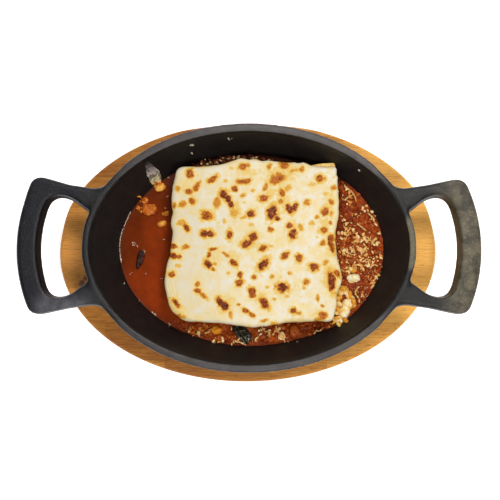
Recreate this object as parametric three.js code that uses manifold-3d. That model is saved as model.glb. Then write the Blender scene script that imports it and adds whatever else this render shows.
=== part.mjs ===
// A portion of lasagne bolognese in an oval cast-iron dish with two loop handles, on an oval wooden board.
// Units are millimetres, +Z is up. X runs along the dish, from handle to handle, and the diner sits at -Y.
// The origin is the middle of the object's underside. The dish stands a little off the board's middle, and
// everything in and on the dish is drawn from the dish's own middle line.

import * as THREE from "three";
import { mergeVertices } from "three/addons/utils/BufferGeometryUtils.js";
import Module from "manifold-3d";

const wasm = await Module();
wasm.setup();

// ---------------------------------------------------------------- driving dimensions

const GAP = 0.3; // between pieces that rest on or in each other

const BOARD = { x: -0.95, halfLength: 138.7, halfWidth: 96.8, thickness: 16, edge: 3.2, turned: 0.6 };
const RECESS = { halfLength: 95, depth: 5, softEdge: 0.9 };

const DISH_Y = -1.5; // from the board's middle line to the dish's
const DISH_HEIGHT = 45;
const FLOOR_THICKNESS = 5;
const DISH_DEPTH = DISH_HEIGHT - FLOOR_THICKNESS;
const BASE_Z = BOARD.thickness - RECESS.depth + GAP;
const RIM_Z = BASE_Z + DISH_HEIGHT;
const FLOOR_Z = BASE_Z + FLOOR_THICKNESS;

// A wall of the dish leans in evenly below its lip, to curveFrom below the rim, then turns into the floor.
const INSIDE = {
  rimHalfLength: 109.4,
  rimHalfWidth: 80,
  lip: 1.5,
  curveFrom: 30,
  floorHalfLength: 78,
  deep: DISH_DEPTH,
};
const OUTSIDE = {
  rimHalfLength: 115,
  rimHalfWidth: 85.1,
  lip: 2,
  curveFrom: 33,
  floorHalfLength: 84,
  deep: DISH_HEIGHT,
};
const LEAN = 0.6; // how far a wall leans in, for each millimetre down
const WIDTH_SHARE = 0.708; // how much of that the half width loses, to each millimetre of the half length
const INSIDE_BENDS = [INSIDE.lip, INSIDE.curveFrom, 35, 38, 39.5]; // depths where the faceted wall bends
const OUTSIDE_BENDS = [OUTSIDE.lip, OUTSIDE.curveFrom, 37.5, 41.5, 44.3];

const HANDLE = {
  reach: 159.8, // from the middle of the dish to the outside of the grip
  gripRadius: 108, // of the grip's outer curve, seen from above
  cornerY: 41.5, // where that curve ends
  holeReach: 144.2, // to the inside of the grip, at its lower edge
  holeRadius: 82,
  holeCornerY: 23,
  holeHalfWidth: 34,
  holeDraft: 1.8, // how much nearer to the grip's outside the hole reaches at the top
  holeEdge: 1,
  thickness: 11,
  belowRim: 0.8,
  bevel: 1.6,
};

// Points of the handle's outer edge at +X and +Y, from inside the bowl's wall out to the grip.
const ARM_EDGE = {
  root: [86, 52],
  foot: [93.5, 47.8],
  throat: [100.5, 39.4], // the rounded corner where the arm leaves the bowl
  neck: [110, 40.7],
  arm: [124, 42.7],
  shoulder: [140, 46.2],
  corner: [148.6, 48], // the rounded corner where the arm meets the grip
};

// The same for the finger hole's edge, which widens from the bowl's wall outwards.
const HOLE_EDGE = { root: [106, 19.5], arm: [117, 27.6], bendX: 124.5, widestX: 131, cornerX: 138.6 };

const SAUCE_Z = RIM_Z - 28; // the thin sauce on the left
const MEAT_MOUND = 4.5; // how much higher the meat lies on the right
const LASAGNE = { x: 2.4, y: 1.2, top: RIM_Z - 10 };
const GRATIN = { thickness: 3.8, hem: 2.4, softEdge: 4.5 };
const PASTA_THICKNESS = 1.8;
const UPPER_FILLING = 4.5;
const PASTA_CORNER = { at: 50, spread: 8.5, bare: 3.2 }; // in degrees; the pasta reaches past the cheese

// The portion's edge from above, in the dish's frame: from the far right corner round by the far left one.
const PORTION_EDGE = [
  [62.2, 51], // the far right corner, where the pasta sheet is square
  [61.9, 57.2],
  [55, 57.8],
  [42, 58.6],
  [34, 60.6],
  [18, 60.9],
  [-5, 62.6], // the far edge leans towards the wall of the dish
  [-33, 58],
  [-48.6, 55.4], // the far left corner
  [-52.4, 49],
  [-54.8, 34],
  [-54.6, 16],
  [-57, -10],
  [-59.4, -26], // the near left corner hangs down in a fold
  [-56.6, -39],
  [-49.5, -49],
  [-40, -51.4],
  [-20, -52.7],
  [8, -54.8], // the near edge sags forward
  [30, -52],
  [50, -51],
  [57.2, -49.8], // the near right corner
  [60.6, -42],
  [62, -31],
  [64.8, -22.6], // a fold stands out on the right
  [61.4, -4],
  [61.2, 12],
  [62.8, 24],
];

const { sin, cos, sqrt, abs, max, min, pow, hypot, exp } = Math;
const TURN = 2 * Math.PI;
const ROUND = 64; // facets round the dish and the lasagne
const { degToRad: radians, radToDeg: degrees, smoothstep: smooth, lerp } = THREE.MathUtils;

// ---------------------------------------------------------------- helpers

// A repeatable stream of numbers from 0 to 1.
function dice(seed) {
  let state = seed;
  return () => {
    state = (Math.imul(state, 1664525) + 1013904223) >>> 0;
    return state / 4294967296;
  };
}

// A solid of stacked rings. rings[i](turn) is a point, and the first and last ring are single points on the
// middle line: first the one below, then the outside upwards, then the one above.
function lofted(rings, segments = ROUND) {
  const rows = rings.map((_, i) => new THREE.Vector2(1, i));
  const geometry = new THREE.LatheGeometry(rows, segments);
  const position = geometry.attributes.position;
  for (let i = 0; i < position.count; i++) {
    const step = Math.floor(i / rings.length) % segments;
    const point = rings[i % rings.length]((step / segments) * TURN);
    position.setXYZ(i, point.x, point.y, point.z);
  }
  return toSolid(geometry);
}

function toSolid(geometry) {
  const bare = geometry.clone();
  bare.deleteAttribute("normal");
  bare.deleteAttribute("uv");
  const merged = mergeVertices(bare, 1e-3);
  return new wasm.Manifold(
    new wasm.Mesh({
      numProp: 3,
      vertProperties: new Float32Array(merged.attributes.position.array),
      triVerts: new Uint32Array(merged.index.array),
    }),
  );
}

function toGeometry(solid) {
  const mesh = solid.getMesh();
  const geometry = new THREE.BufferGeometry();
  geometry.setAttribute("position", new THREE.BufferAttribute(mesh.vertProperties, 3));
  geometry.setIndex(new THREE.BufferAttribute(mesh.triVerts, 1));
  geometry.computeVertexNormals();
  return geometry;
}

// Moves every vertex of a geometry: shift(x, y, z) gives its new place.
function reshaped(geometry, shift) {
  const position = geometry.attributes.position;
  for (let i = 0; i < position.count; i++) {
    position.setXYZ(i, ...shift(position.getX(i), position.getY(i), position.getZ(i)));
  }
  return geometry;
}

const joined = (solids) => solids.reduce((whole, solid) => whole.add(solid));

// The largest body of a solid, without the scraps that a cut leaves.
const mainBody = (solid) => solid.decompose().reduce((a, b) => (a.volume() > b.volume() ? a : b));

const middle = (z) => () => new THREE.Vector3(0, 0, z);

const oval = (halfLength, halfWidth, z) => (turn) =>
  new THREE.Vector3(halfLength * cos(turn), halfWidth * sin(turn), z);

// ---------------------------------------------------------------- the dish's walls

// Half length of a wall at a depth below the rim: the leaning part, then a quarter ellipse into the floor.
function wallHalfLength(wall, depth) {
  const leaning = (d) => wall.rimHalfLength - LEAN * max(0, d - wall.lip);
  if (depth <= wall.curveFrom) return leaning(depth);
  const down = min(1, (depth - wall.curveFrom) / (wall.deep - wall.curveFrom));
  return wall.floorHalfLength + (leaning(wall.curveFrom) - wall.floorHalfLength) * sqrt(1 - down * down);
}

const wallHalfWidth = (wall, halfLength) =>
  wall.rimHalfWidth - WIDTH_SHARE * (wall.rimHalfLength - halfLength);

// The oval of a wall at a depth, pulled in by shrink.
function wallRing(wall, depth, shrink = 0) {
  const halfLength = wallHalfLength(wall, depth);
  return oval(halfLength - shrink, wallHalfWidth(wall, halfLength) - shrink, RIM_Z - depth);
}

const floorRing = (wall, z, shrink = 0) =>
  oval(wall.floorHalfLength - shrink, wallHalfWidth(wall, wall.floorHalfLength) - shrink, z);

// The space inside the dish, pulled in by shrink from its walls and floor, and open above the rim.
function cavity(shrink = 0) {
  const above = RIM_Z + 20;
  return lofted([
    middle(FLOOR_Z + shrink),
    floorRing(INSIDE, FLOOR_Z + shrink, shrink),
    ...[...INSIDE_BENDS].reverse().map((depth) => wallRing(INSIDE, depth, shrink)),
    oval(INSIDE.rimHalfLength - shrink, INSIDE.rimHalfWidth - shrink, above),
    middle(above),
  ]);
}

// ---------------------------------------------------------------- board

function board() {
  const { halfLength, halfWidth, thickness, edge } = BOARD;
  const outer = (inset, z) => oval(halfLength - inset, halfWidth - inset, z);
  const facets = 56;
  const disc = lofted(
    [
      middle(0),
      outer(edge, 0),
      outer(edge * 0.3, edge * 0.3),
      outer(0, edge),
      outer(0, thickness - edge),
      outer(edge * 0.3, thickness - edge * 0.3),
      outer(edge, thickness),
      middle(thickness),
    ],
    facets,
  );
  const { softEdge, depth } = RECESS;
  const recessHalfWidth = wallHalfWidth(OUTSIDE, RECESS.halfLength);
  const sunk = (grow, z) => oval(RECESS.halfLength + grow, recessHalfWidth + grow, z);
  const recess = lofted(
    [
      middle(thickness - depth),
      sunk(0, thickness - depth),
      sunk(0, thickness - softEdge),
      sunk(softEdge * 2, thickness + softEdge),
      middle(thickness + softEdge),
    ],
    facets,
  );
  return disc.subtract(recess.translate(-BOARD.x, DISH_Y, 0));
}

// ---------------------------------------------------------------- dish

function bowl() {
  const { rimHalfLength, rimHalfWidth } = OUTSIDE;
  return lofted([
    middle(BASE_Z),
    floorRing(OUTSIDE, BASE_Z),
    ...[...OUTSIDE_BENDS].reverse().map((depth) => wallRing(OUTSIDE, depth)),
    oval(rimHalfLength - 0.7, rimHalfWidth - 0.7, RIM_Z - 0.7),
    oval(rimHalfLength - 2, rimHalfWidth - 2, RIM_Z),
    oval(INSIDE.rimHalfLength + 1.4, INSIDE.rimHalfWidth + 1.4, RIM_Z),
    ...INSIDE_BENDS.map((depth) => wallRing(INSIDE, depth)),
    floorRing(INSIDE, FLOOR_Z),
    middle(FLOOR_Z),
  ]);
}

// Both edges of an arc that bulges towards +X and is symmetrical about the X axis.
function bulge(reach, radius, endY) {
  const half = Math.asin(endY / radius);
  return { centre: reach - radius, half, endX: reach - radius * (1 - cos(half)), endY };
}

const acrossX = ([x, y]) => [x, -y];

// The outline of one handle from above, for the end at +X: two arms that spread to a curved grip.
function handleShape() {
  const grip = bulge(HANDLE.reach, HANDLE.gripRadius, HANDLE.cornerY);
  const { root, foot, throat, neck, arm, shoulder, corner } = ARM_EDGE;
  const shape = new THREE.Shape();
  shape.moveTo(...root);
  shape.lineTo(...foot);
  shape.quadraticCurveTo(...throat, ...neck);
  shape.lineTo(...arm);
  shape.lineTo(...shoulder);
  shape.quadraticCurveTo(...corner, grip.endX, grip.endY);
  shape.absarc(grip.centre, 0, HANDLE.gripRadius, grip.half, -grip.half, true);
  shape.quadraticCurveTo(...acrossX(corner), ...acrossX(shoulder));
  shape.lineTo(...acrossX(arm));
  shape.lineTo(...acrossX(neck));
  shape.quadraticCurveTo(...acrossX(throat), ...acrossX(foot));
  shape.lineTo(...acrossX(root));
  return shape;
}

// The finger hole from above, at its lower edge. The dish's own wall closes its inner end.
function holeShape() {
  const grip = bulge(HANDLE.holeReach, HANDLE.holeRadius, HANDLE.holeCornerY);
  const half = HANDLE.holeHalfWidth;
  const { root, arm, bendX, widestX, cornerX } = HOLE_EDGE;
  const shape = new THREE.Shape();
  shape.moveTo(...acrossX(root));
  shape.lineTo(...acrossX(arm));
  shape.quadraticCurveTo(bendX, -half, widestX, -half);
  shape.quadraticCurveTo(cornerX, -half, grip.endX, -grip.endY);
  shape.absarc(grip.centre, 0, HANDLE.holeRadius, -grip.half, grip.half, false);
  shape.quadraticCurveTo(cornerX, half, widestX, half);
  shape.quadraticCurveTo(bendX, half, ...arm);
  shape.lineTo(...root);
  return shape;
}

// The hole as a solid to cut away: it widens upwards, and flares at both faces of the handle.
function hole(below, above) {
  const { holeDraft, holeEdge, holeReach, holeHalfWidth } = HANDLE;
  const past = 0.2;
  const levels = [
    { z: below - past, grow: holeEdge },
    { z: below + holeEdge, grow: 0 },
    { z: above - holeEdge, grow: holeDraft },
    { z: above + past, grow: holeDraft + holeEdge + past },
  ];
  const steps = levels.length - 1;
  const straight = new THREE.ExtrudeGeometry(holeShape(), {
    depth: steps,
    steps,
    bevelEnabled: false,
    curveSegments: 4,
  });
  const middleX = 128;
  const flared = reshaped(straight, (x, y, level) => {
    const { z, grow } = levels[Math.round(level)];
    const outwards = max(0, x - middleX) / (holeReach - middleX);
    return [x + grow * outwards, y * (1 + (0.7 * grow) / holeHalfWidth), z];
  });
  return toSolid(flared);
}

function handle(side) {
  const { thickness, bevel, belowRim } = HANDLE;
  const above = RIM_Z - belowRim;
  const geometry = new THREE.ExtrudeGeometry(handleShape(), {
    depth: thickness - 2 * bevel,
    bevelThickness: bevel,
    bevelSize: bevel,
    bevelOffset: -bevel,
    bevelSegments: 2,
    curveSegments: 4,
  });
  geometry.translate(0, 0, above - thickness + bevel);
  const loop = toSolid(geometry).subtract(hole(above - thickness, above)).subtract(cavity());
  return side > 0 ? loop : loop.rotate([0, 0, 180]);
}

const dish = () => joined([bowl(), handle(1), handle(-1)]);

// ---------------------------------------------------------------- outline of the lasagne

// Directions and distances from the lasagne's middle along the smooth line through PORTION_EDGE.
const edgeSamples = new THREE.CatmullRomCurve3(
  PORTION_EDGE.map(([x, y]) => new THREE.Vector3(x - LASAGNE.x, y - LASAGNE.y, 0)),
  true,
)
  .getPoints(600)
  .map(({ x, y }) => ({ turn: (Math.atan2(y, x) + TURN) % TURN, reach: hypot(x, y) }))
  .sort((a, b) => a.turn - b.turn);

// Distance from the lasagne's middle to its edge, in one direction.
function lasagneReach(turn) {
  const at = (turn + TURN) % TURN;
  const next = edgeSamples.findIndex((sample) => sample.turn > at);
  const after = edgeSamples.at(max(next, 0));
  const before = edgeSamples.at(next - 1);
  const span = (after.turn - before.turn + TURN) % TURN;
  const share = span > 0 ? ((at - before.turn + TURN) % TURN) / span : 0;
  return lerp(before.reach, after.reach, share);
}

const degreesApart = (turn, at) => abs(((degrees(turn) - at + 540) % 360) - 180);

// 1 up to some degrees either side of the pasta's bare corner, falling to 0 further from it.
const nearPastaCorner = (turn, from, to) => 1 - smooth(degreesApart(turn, PASTA_CORNER.at), from, to);

// The cheese follows the pasta's edge, but stops short of it near one corner.
const crustReach = (turn) =>
  lasagneReach(turn) - PASTA_CORNER.bare * nearPastaCorner(turn, 4, PASTA_CORNER.spread);

// Distance from the lasagne's middle to the inside of the dish, in one direction at one height.
function wallReach(turn, z) {
  const halfLength = wallHalfLength(INSIDE, RIM_Z - z);
  const halfWidth = wallHalfWidth(INSIDE, halfLength);
  const a = pow(cos(turn) / halfLength, 2) + pow(sin(turn) / halfWidth, 2);
  const b = (LASAGNE.x * cos(turn)) / pow(halfLength, 2) + (LASAGNE.y * sin(turn)) / pow(halfWidth, 2);
  const c = pow(LASAGNE.x / halfLength, 2) + pow(LASAGNE.y / halfWidth, 2) - 1;
  return (sqrt(b * b - a * c) - b) / a;
}

const fromLasagne = (turn, reach, z) =>
  new THREE.Vector3(LASAGNE.x + reach * cos(turn), LASAGNE.y + reach * sin(turn), z);

// Gentle rise and fall that all the layers share, so that they lie in each other.
const sag = (x, y) => 0.5 * sin(x / 17 + 0.6) * cos(y / 15 - 0.4) + 0.35 * sin((x + 2 * y) / 23);

function laid(turn, reach, z) {
  const point = fromLasagne(turn, reach, z);
  point.z += sag(point.x, point.y);
  return point;
}

// A loft whose facets crowd at the four corners of the portion.
const CROWDING = 0.12;
const loftedPortion = (rings) => lofted(rings.map((ring) => (turn) => ring(turn + CROWDING * sin(4 * turn))));

// ---------------------------------------------------------------- lasagne layers

// All layers bend at the same rings, so that the gap between two of them stays even.
const INNER_BEND = 0.55;
const bend = (part, z) => (turn) => laid(turn, lasagneReach(turn) * part, z);

// How far the cheese hangs down over the side, all the way round. It leaves the pasta's corner bare.
function hang(turn) {
  const right = max(0, cos(turn));
  const left = max(0, -cos(turn));
  const near = max(0, -sin(turn));
  const frill = 0.8 * sin(turn * 9) + 0.6 * sin(turn * 14 + 1);
  const drop = 7.5 + 3.5 * left + 2.5 * near - 1.5 * right + frill;
  const covered = 1 - nearPastaCorner(turn, PASTA_CORNER.spread + 6, PASTA_CORNER.spread + 12);
  return GRATIN.thickness + covered * max(0, drop - GRATIN.thickness);
}

// The browned sauce and cheese on top: a plate with a soft edge that turns down into a hem.
function gratinTop() {
  const { thickness, hem, softEdge } = GRATIN;
  const { top } = LASAGNE;
  const edge = (inset, drop) => (turn) => laid(turn, crustReach(turn) - inset, top - drop);
  const hemEnd = (inset) => (turn) => laid(turn, crustReach(turn) - inset, top - hang(turn));
  const hemMiddle = (turn) => laid(turn, crustReach(turn), top - 1.6 - hang(turn) / 2);
  return loftedPortion([
    bend(0, top - thickness),
    bend(INNER_BEND, top - thickness),
    edge(hem + 0.3, thickness),
    hemEnd(hem),
    hemEnd(0.5),
    hemMiddle,
    edge(0.3, 2.6),
    edge(1.6, 1.2),
    edge(softEdge, 0.3),
    bend(INNER_BEND + 0.2, top),
    bend(INNER_BEND - 0.2, top),
    bend(0, top),
  ]);
}

// One flat layer under the top, kept inside the hem and off the wall of the dish.
function layer(top, thickness, { inset, ripple = 0, ripples = 11, atCorner = 0 }) {
  const bottom = top - thickness;
  const wallRoom = 1.2;
  const edge = (z) => (turn) => {
    const past = atCorner * nearPastaCorner(turn, 4, PASTA_CORNER.spread + 5);
    const reach = lasagneReach(turn) - inset + past + ripple * sin(turn * ripples + top);
    return laid(turn, min(reach, wallReach(turn, z) - wallRoom), z);
  };
  return loftedPortion([
    bend(0, bottom),
    bend(INNER_BEND, bottom),
    edge(bottom),
    edge(top),
    bend(INNER_BEND, top),
    bend(0, top),
  ]);
}

const UPPER_PASTA_TOP = LASAGNE.top - GRATIN.thickness - GAP;
const UPPER_FILLING_TOP = UPPER_PASTA_TOP - PASTA_THICKNESS - GAP;
const LOWER_PASTA_TOP = UPPER_FILLING_TOP - UPPER_FILLING - GAP;
const LOWER_FILLING_TOP = LOWER_PASTA_TOP - PASTA_THICKNESS - GAP;
const PASTA_INSET = GRATIN.hem + 0.9;
const FILLING_INSET = PASTA_INSET + 1.4;

const upperPasta = () =>
  layer(UPPER_PASTA_TOP, PASTA_THICKNESS, { inset: PASTA_INSET, atCorner: PASTA_INSET });
const upperFilling = () =>
  layer(UPPER_FILLING_TOP, UPPER_FILLING, { inset: FILLING_INSET, ripple: 0.6, ripples: 23 });
const lowerPasta = () =>
  layer(LOWER_PASTA_TOP, PASTA_THICKNESS, { inset: PASTA_INSET, ripple: 0.3, ripples: 7 });

// The lowest layer stands on the dish's floor, in the sauce, and keeps off its wall at the corners.
const lowerReach = (turn, z) => min(lasagneReach(turn) - FILLING_INSET, wallReach(turn, z) - 2.2);

// grow makes it larger all round, as the hole for it in the sauce.
function lowerFilling(grow = 0) {
  const bottom = FLOOR_Z + GAP - grow;
  const top = LOWER_FILLING_TOP + 3 * grow;
  const reach = (turn, z) => lowerReach(turn, z) + grow;
  const level = (z) => (turn) => fromLasagne(turn, reach(turn, z), z);
  return loftedPortion([
    middle(bottom),
    (turn) => fromLasagne(turn, reach(turn, FLOOR_Z + GAP), bottom),
    level(FLOOR_Z + 2.5),
    level(SAUCE_Z - 4),
    level(SAUCE_Z),
    (turn) => laid(turn, reach(turn, LOWER_FILLING_TOP), top),
    bend(INNER_BEND, top),
    bend(0, top),
  ]);
}

// ---------------------------------------------------------------- sauce

const hill = (x, y, { at, size, height }) =>
  height * exp(-pow((x - at[0]) / size[0], 2) - pow((y - at[1]) / size[1], 2));

// Height of the sauce: thin and level on the left, a mound of meat on the right that climbs the near right
// wall, and a little more of it along the near and far edge.
function sauceHeight(x, y) {
  const mound = MEAT_MOUND * smooth(x, 42, 70);
  const nearRight = hill(x, y, { at: [66, -46], size: [16, 14], height: 1.6 });
  const strips = 1.2 * smooth(abs(y), 50, 60) * smooth(x, -40, 0);
  return SAUCE_Z + mound + nearRight + strips;
}

// The body of the sauce: it fills the dish up to its own height, round the lowest layer of the lasagne.
function sauceCore() {
  const deepBends = INSIDE_BENDS.filter((depth) => RIM_Z - depth < SAUCE_Z - 1).reverse();
  const atWall = (turn) => {
    let point = wallRing(INSIDE, RIM_Z - SAUCE_Z, GAP)(turn);
    for (let round = 0; round < 3; round++) {
      point = wallRing(INSIDE, RIM_Z - sauceHeight(point.x, point.y), GAP)(turn);
    }
    return point;
  };
  const surface = (share) => (turn) => {
    const { x, y } = atWall(turn).multiplyScalar(share);
    return new THREE.Vector3(x, y, sauceHeight(x, y));
  };
  const poured = lofted([
    middle(FLOOR_Z + GAP),
    floorRing(INSIDE, FLOOR_Z + GAP, GAP),
    ...deepBends.map((depth) => wallRing(INSIDE, depth, GAP)),
    atWall,
    surface(0.88),
    surface(0.74),
    surface(0.6),
    middle(SAUCE_Z),
  ]);
  return poured.subtract(lowerFilling(GAP));
}

// ---------------------------------------------------------------- pieces that lie on the sauce

// A lump: a ball of few sides, squeezed, dented and turned.
function lump(piece, Ball = THREE.IcosahedronGeometry) {
  const { x, y, length, width, height, angle = 0, dents = 0.12, seed = 1 } = piece;
  const ball = reshaped(new Ball(0.5, 1), (u, v, w) => {
    const dent = sin(6.2 * u + seed * 1.7) * cos(5.4 * v - seed) + 0.6 * sin(8.6 * w + seed * 2.9);
    const size = 1 + dents * dent;
    return [u * size * length, v * size * width, w * size * height];
  });
  ball.rotateZ(radians(angle));
  ball.translate(x, y, sauceHeight(x, y));
  return toSolid(ball);
}

// A short, bent strip of grated cheese.
function shred({ x, y, length, angle, bow }) {
  const width = 1.1;
  const thickness = 1.5;
  const strip = reshaped(new THREE.BoxGeometry(length, width, thickness, 2, 1, 1), (u, v, w) => {
    const along = (2 * u) / length;
    return [u, v + bow * (along * along - 0.4), w - 0.25 * along * along];
  });
  strip.rotateZ(radians(angle));
  strip.translate(x, y, sauceHeight(x, y) + 0.45);
  return toSolid(strip);
}

// Whole pieces on the sauce, where the cook dropped them.
const CARROTS = [
  { x: -72, y: 29, length: 12, width: 9.5, height: 5, angle: 20, seed: 2 },
  { x: -59.6, y: 26.2, length: 5.8, width: 4.2, height: 4, angle: 12, seed: 5 },
  { x: -62.9, y: 18.6, length: 8.6, width: 5.4, height: 4.4, angle: 18, seed: 3 },
  { x: -64.3, y: 44.8, length: 8.4, width: 5.6, height: 5, angle: 24, seed: 9 },
  { x: -22.8, y: -57.6, length: 6.2, width: 5, height: 4.4, angle: -8, seed: 7 },
];
const BROWNED_MEAT = {
  x: -78.2,
  y: -6.8,
  length: 15,
  width: 5.4,
  height: 3.6,
  angle: 80,
  dents: 0.2,
  seed: 4,
};
const CHEESE_LUMPS = [
  { x: 74.3, y: -21, length: 9.6, width: 6.4, height: 4.4, angle: 8, seed: 3 },
  { x: 73.8, y: -14.6, length: 5, width: 2.8, height: 3, angle: 25, seed: 6 },
];
const MELTED_CHEESE = [
  { x: 68, y: -29.4, length: 6.4, width: 7.6, height: 5, angle: 10, seed: 1 },
  { x: 71.4, y: -34.2, length: 9.5, width: 5, height: 4.6, angle: -52, seed: 5 },
  { x: 70, y: -39.4, length: 9.5, width: 8.5, height: 6.4, angle: 0, seed: 4 },
  { x: 67, y: -45.4, length: 10, width: 9, height: 6.4, angle: 35, seed: 8 },
  { x: 63, y: -50.6, length: 9, width: 4.8, height: 4.6, angle: -8, seed: 2 },
];
const LEAF = { x: -6.4, y: -59.8, length: 14, width: 11, thickness: 0.8, angle: 62 };

// A wilted leaf: a thin pointed sheet with a folded middle rib and a wavy edge.
function leaf() {
  const sheet = reshaped(new THREE.BoxGeometry(1, 1, 1, 8, 4, 1), (u, v, w) => {
    const spread = max(0.12, sqrt(max(0, 1 - pow(2 * u, 2))) * (1 - 0.35 * u));
    const lift = 1.5 * abs(v) * spread + 0.5 * sin(9 * u + 2) * abs(2 * v) + 0.35 * sin(6 * u);
    return [u * LEAF.length, v * LEAF.width * spread, w * LEAF.thickness + lift];
  });
  sheet.rotateZ(radians(LEAF.angle));
  sheet.translate(LEAF.x, LEAF.y, sauceHeight(LEAF.x, LEAF.y) + 0.9);
  return toSolid(sheet);
}

// Cheese that baked on to the far left wall: a long thin patch from under the rim to the sauce.
const STREAK = {
  at: 132.4, // degrees round, at its upper end
  lean: 1, // and how many more at its foot
  from: RIM_Z - 3.5,
  to: SAUCE_Z + 1.6,
  halfWidth: 3.1,
  thickness: 0.9,
};

function bakedStreak() {
  const { at, lean, from, to, halfWidth, thickness } = STREAK;
  const patch = reshaped(new THREE.BoxGeometry(2, 1, 1, 4, 9, 1), (side, up, out) => {
    const down = 0.5 - up;
    const width = halfWidth * (0.55 + 0.65 * smooth(down, 0, 0.75)) * (1 + 0.12 * sin(down * 17 + side));
    const z = lerp(from, to, down);
    const halfLength = wallHalfLength(INSIDE, RIM_Z - z);
    const turn = radians(at + lean * down) - (side * width) / halfLength;
    const off = GAP + (0.5 + out) * thickness;
    const [x, y] = [(halfLength - off) * cos(turn), (wallHalfWidth(INSIDE, halfLength) - off) * sin(turn)];
    return [x, y, z + off * 0.5];
  });
  return toSolid(patch);
}

// ---------------------------------------------------------------- mince and grated cheese in the sauce

// Where the mince shows, how many crumbs of it and how large; and where the grated cheese fell.
const MINCE_FIELDS = [
  { x: [60, 97], y: [-50, 48], count: 19, size: [4.5, 7.5] },
  { x: [-45, 62], y: [-68, -48], count: 9, size: [4, 6] },
];
const SHRED_FIELDS = [
  { x: [74, 95], y: [-32, 12], count: 12, size: [4.5, 8] },
  { x: [66, 88], y: [12, 42], count: 4, size: [4.5, 7] },
  { x: [18, 60], y: [-67, -56], count: 3, size: [4.5, 7] },
];

const KEPT_CLEAR = [...CARROTS, BROWNED_MEAT, ...CHEESE_LUMPS, ...MELTED_CHEESE, LEAF];

// Whether there is room for a crumb between the lasagne, the wall and the whole pieces.
function isFree(x, y, room) {
  const turn = Math.atan2(y - LASAGNE.y, x - LASAGNE.x);
  const reach = hypot(x - LASAGNE.x, y - LASAGNE.y);
  const onSauce = reach > lasagneReach(turn) + room && reach < wallReach(turn, sauceHeight(x, y)) - room;
  return onSauce && KEPT_CLEAR.every((piece) => hypot(x - piece.x, y - piece.y) > piece.length / 2 + room);
}

// Draws places in the fields until each has its count, or enough draws have missed.
function scattered(fields, seed, { room, spacing }) {
  const random = dice(seed);
  const pieces = [];
  for (const field of fields) {
    let left = field.count;
    for (let draws = 0; draws < 900 && left > 0; draws++) {
      const [x, y] = [lerp(...field.x, random()), lerp(...field.y, random())];
      const crowded = pieces.some((piece) => hypot(piece.x - x, piece.y - y) < spacing);
      if (crowded || !isFree(x, y, room)) continue;
      pieces.push({ x, y, length: lerp(...field.size, random()), angle: 180 * random(), chance: random() });
      left -= 1;
    }
  }
  return pieces;
}

const mincePieces = () =>
  scattered(MINCE_FIELDS, 7, { room: 2.6, spacing: 5 }).map(({ chance, ...piece }) => {
    const size = { width: piece.length * 0.74, height: piece.length * 0.62 };
    return lump({ ...piece, ...size, dents: 0.22, seed: 10 * chance }, THREE.OctahedronGeometry);
  });

const cheeseShreds = () =>
  scattered(SHRED_FIELDS, 23, { room: 3.6, spacing: 2.6 }).map(({ x, y, length, angle, chance }) =>
    shred({ x, y, length, angle: 2 * angle, bow: 1.6 * (chance - 0.5) }),
  );

// ---------------------------------------------------------------- fitting the food together

// The lasagne's own room, which pieces on the sauce stay clear of.
function lasagneRoom() {
  const edge = (z) => (turn) => fromLasagne(turn, lasagneReach(turn) + GAP, z);
  return loftedPortion([middle(FLOOR_Z), edge(FLOOR_Z), edge(RIM_Z), middle(RIM_Z)]);
}

const core = sauceCore();
const room = lasagneRoom();
const inDish = cavity(GAP);

// A whole piece bedded on the sauce, with the gap between them.
const onSauce = (solid) =>
  mainBody(solid.subtract(core.translate(0, 0, GAP)).subtract(core).subtract(room).intersect(inDish));

// The sauce with the mince and the shreds that are stuck in it.
function sauce() {
  const bits = joined([...mincePieces(), ...cheeseShreds()]).subtract(room).intersect(inDish);
  return mainBody(core.add(bits));
}

// ---------------------------------------------------------------- scene graph

const finish = (color, roughness, metalness = 0) =>
  new THREE.MeshStandardMaterial({ color, roughness, metalness });
const MATERIALS = {
  wood: finish(0xc0803c, 0.55),
  castIron: finish(0x232122, 0.5, 0.6),
  sauce: finish(0x8a3312, 0.3),
  gratin: finish(0xeeddb0, 0.45),
  pasta: finish(0xe6c068, 0.45),
  filling: finish(0x7a3a1c, 0.6),
  carrot: finish(0xe08a28, 0.35),
  meat: finish(0x3a1c12, 0.5),
  cheese: finish(0xf0d898, 0.4),
  leaf: finish(0x24301a, 0.4),
  streak: finish(0xa89a80, 0.55),
};

function named(name, solid, material) {
  const mesh = new THREE.Mesh(toGeometry(solid), material);
  mesh.name = name;
  return mesh;
}

const boardMesh = named("serving_board", board(), MATERIALS.wood);
boardMesh.position.x = BOARD.x;
boardMesh.rotation.z = radians(BOARD.turned);

const filledDish = new THREE.Group();
filledDish.position.y = DISH_Y;
filledDish.add(
  named("cast_iron_dish", dish(), MATERIALS.castIron),
  named("bolognese_sauce", sauce(), MATERIALS.sauce),
  named("lower_filling", lowerFilling(), MATERIALS.filling),
  named("lower_pasta_sheet", lowerPasta(), MATERIALS.pasta),
  named("upper_filling", upperFilling(), MATERIALS.filling),
  named("upper_pasta_sheet", upperPasta(), MATERIALS.pasta),
  named("gratin_top", gratinTop(), MATERIALS.gratin),
  ...CARROTS.map((piece, i) => named(`carrot_piece_${i + 1}`, onSauce(lump(piece)), MATERIALS.carrot)),
  named("browned_meat_piece", onSauce(lump(BROWNED_MEAT)), MATERIALS.meat),
  ...CHEESE_LUMPS.map((piece, i) => named(`cheese_lump_${i + 1}`, onSauce(lump(piece)), MATERIALS.cheese)),
  named("melted_cheese", onSauce(joined(MELTED_CHEESE.map((piece) => lump(piece)))), MATERIALS.cheese),
  named("herb_leaf", onSauce(leaf()), MATERIALS.leaf),
  named("baked_cheese_streak", bakedStreak(), MATERIALS.streak),
);

const meal = new THREE.Group();
meal.add(boardMesh, filledDish);

export default meal;
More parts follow.
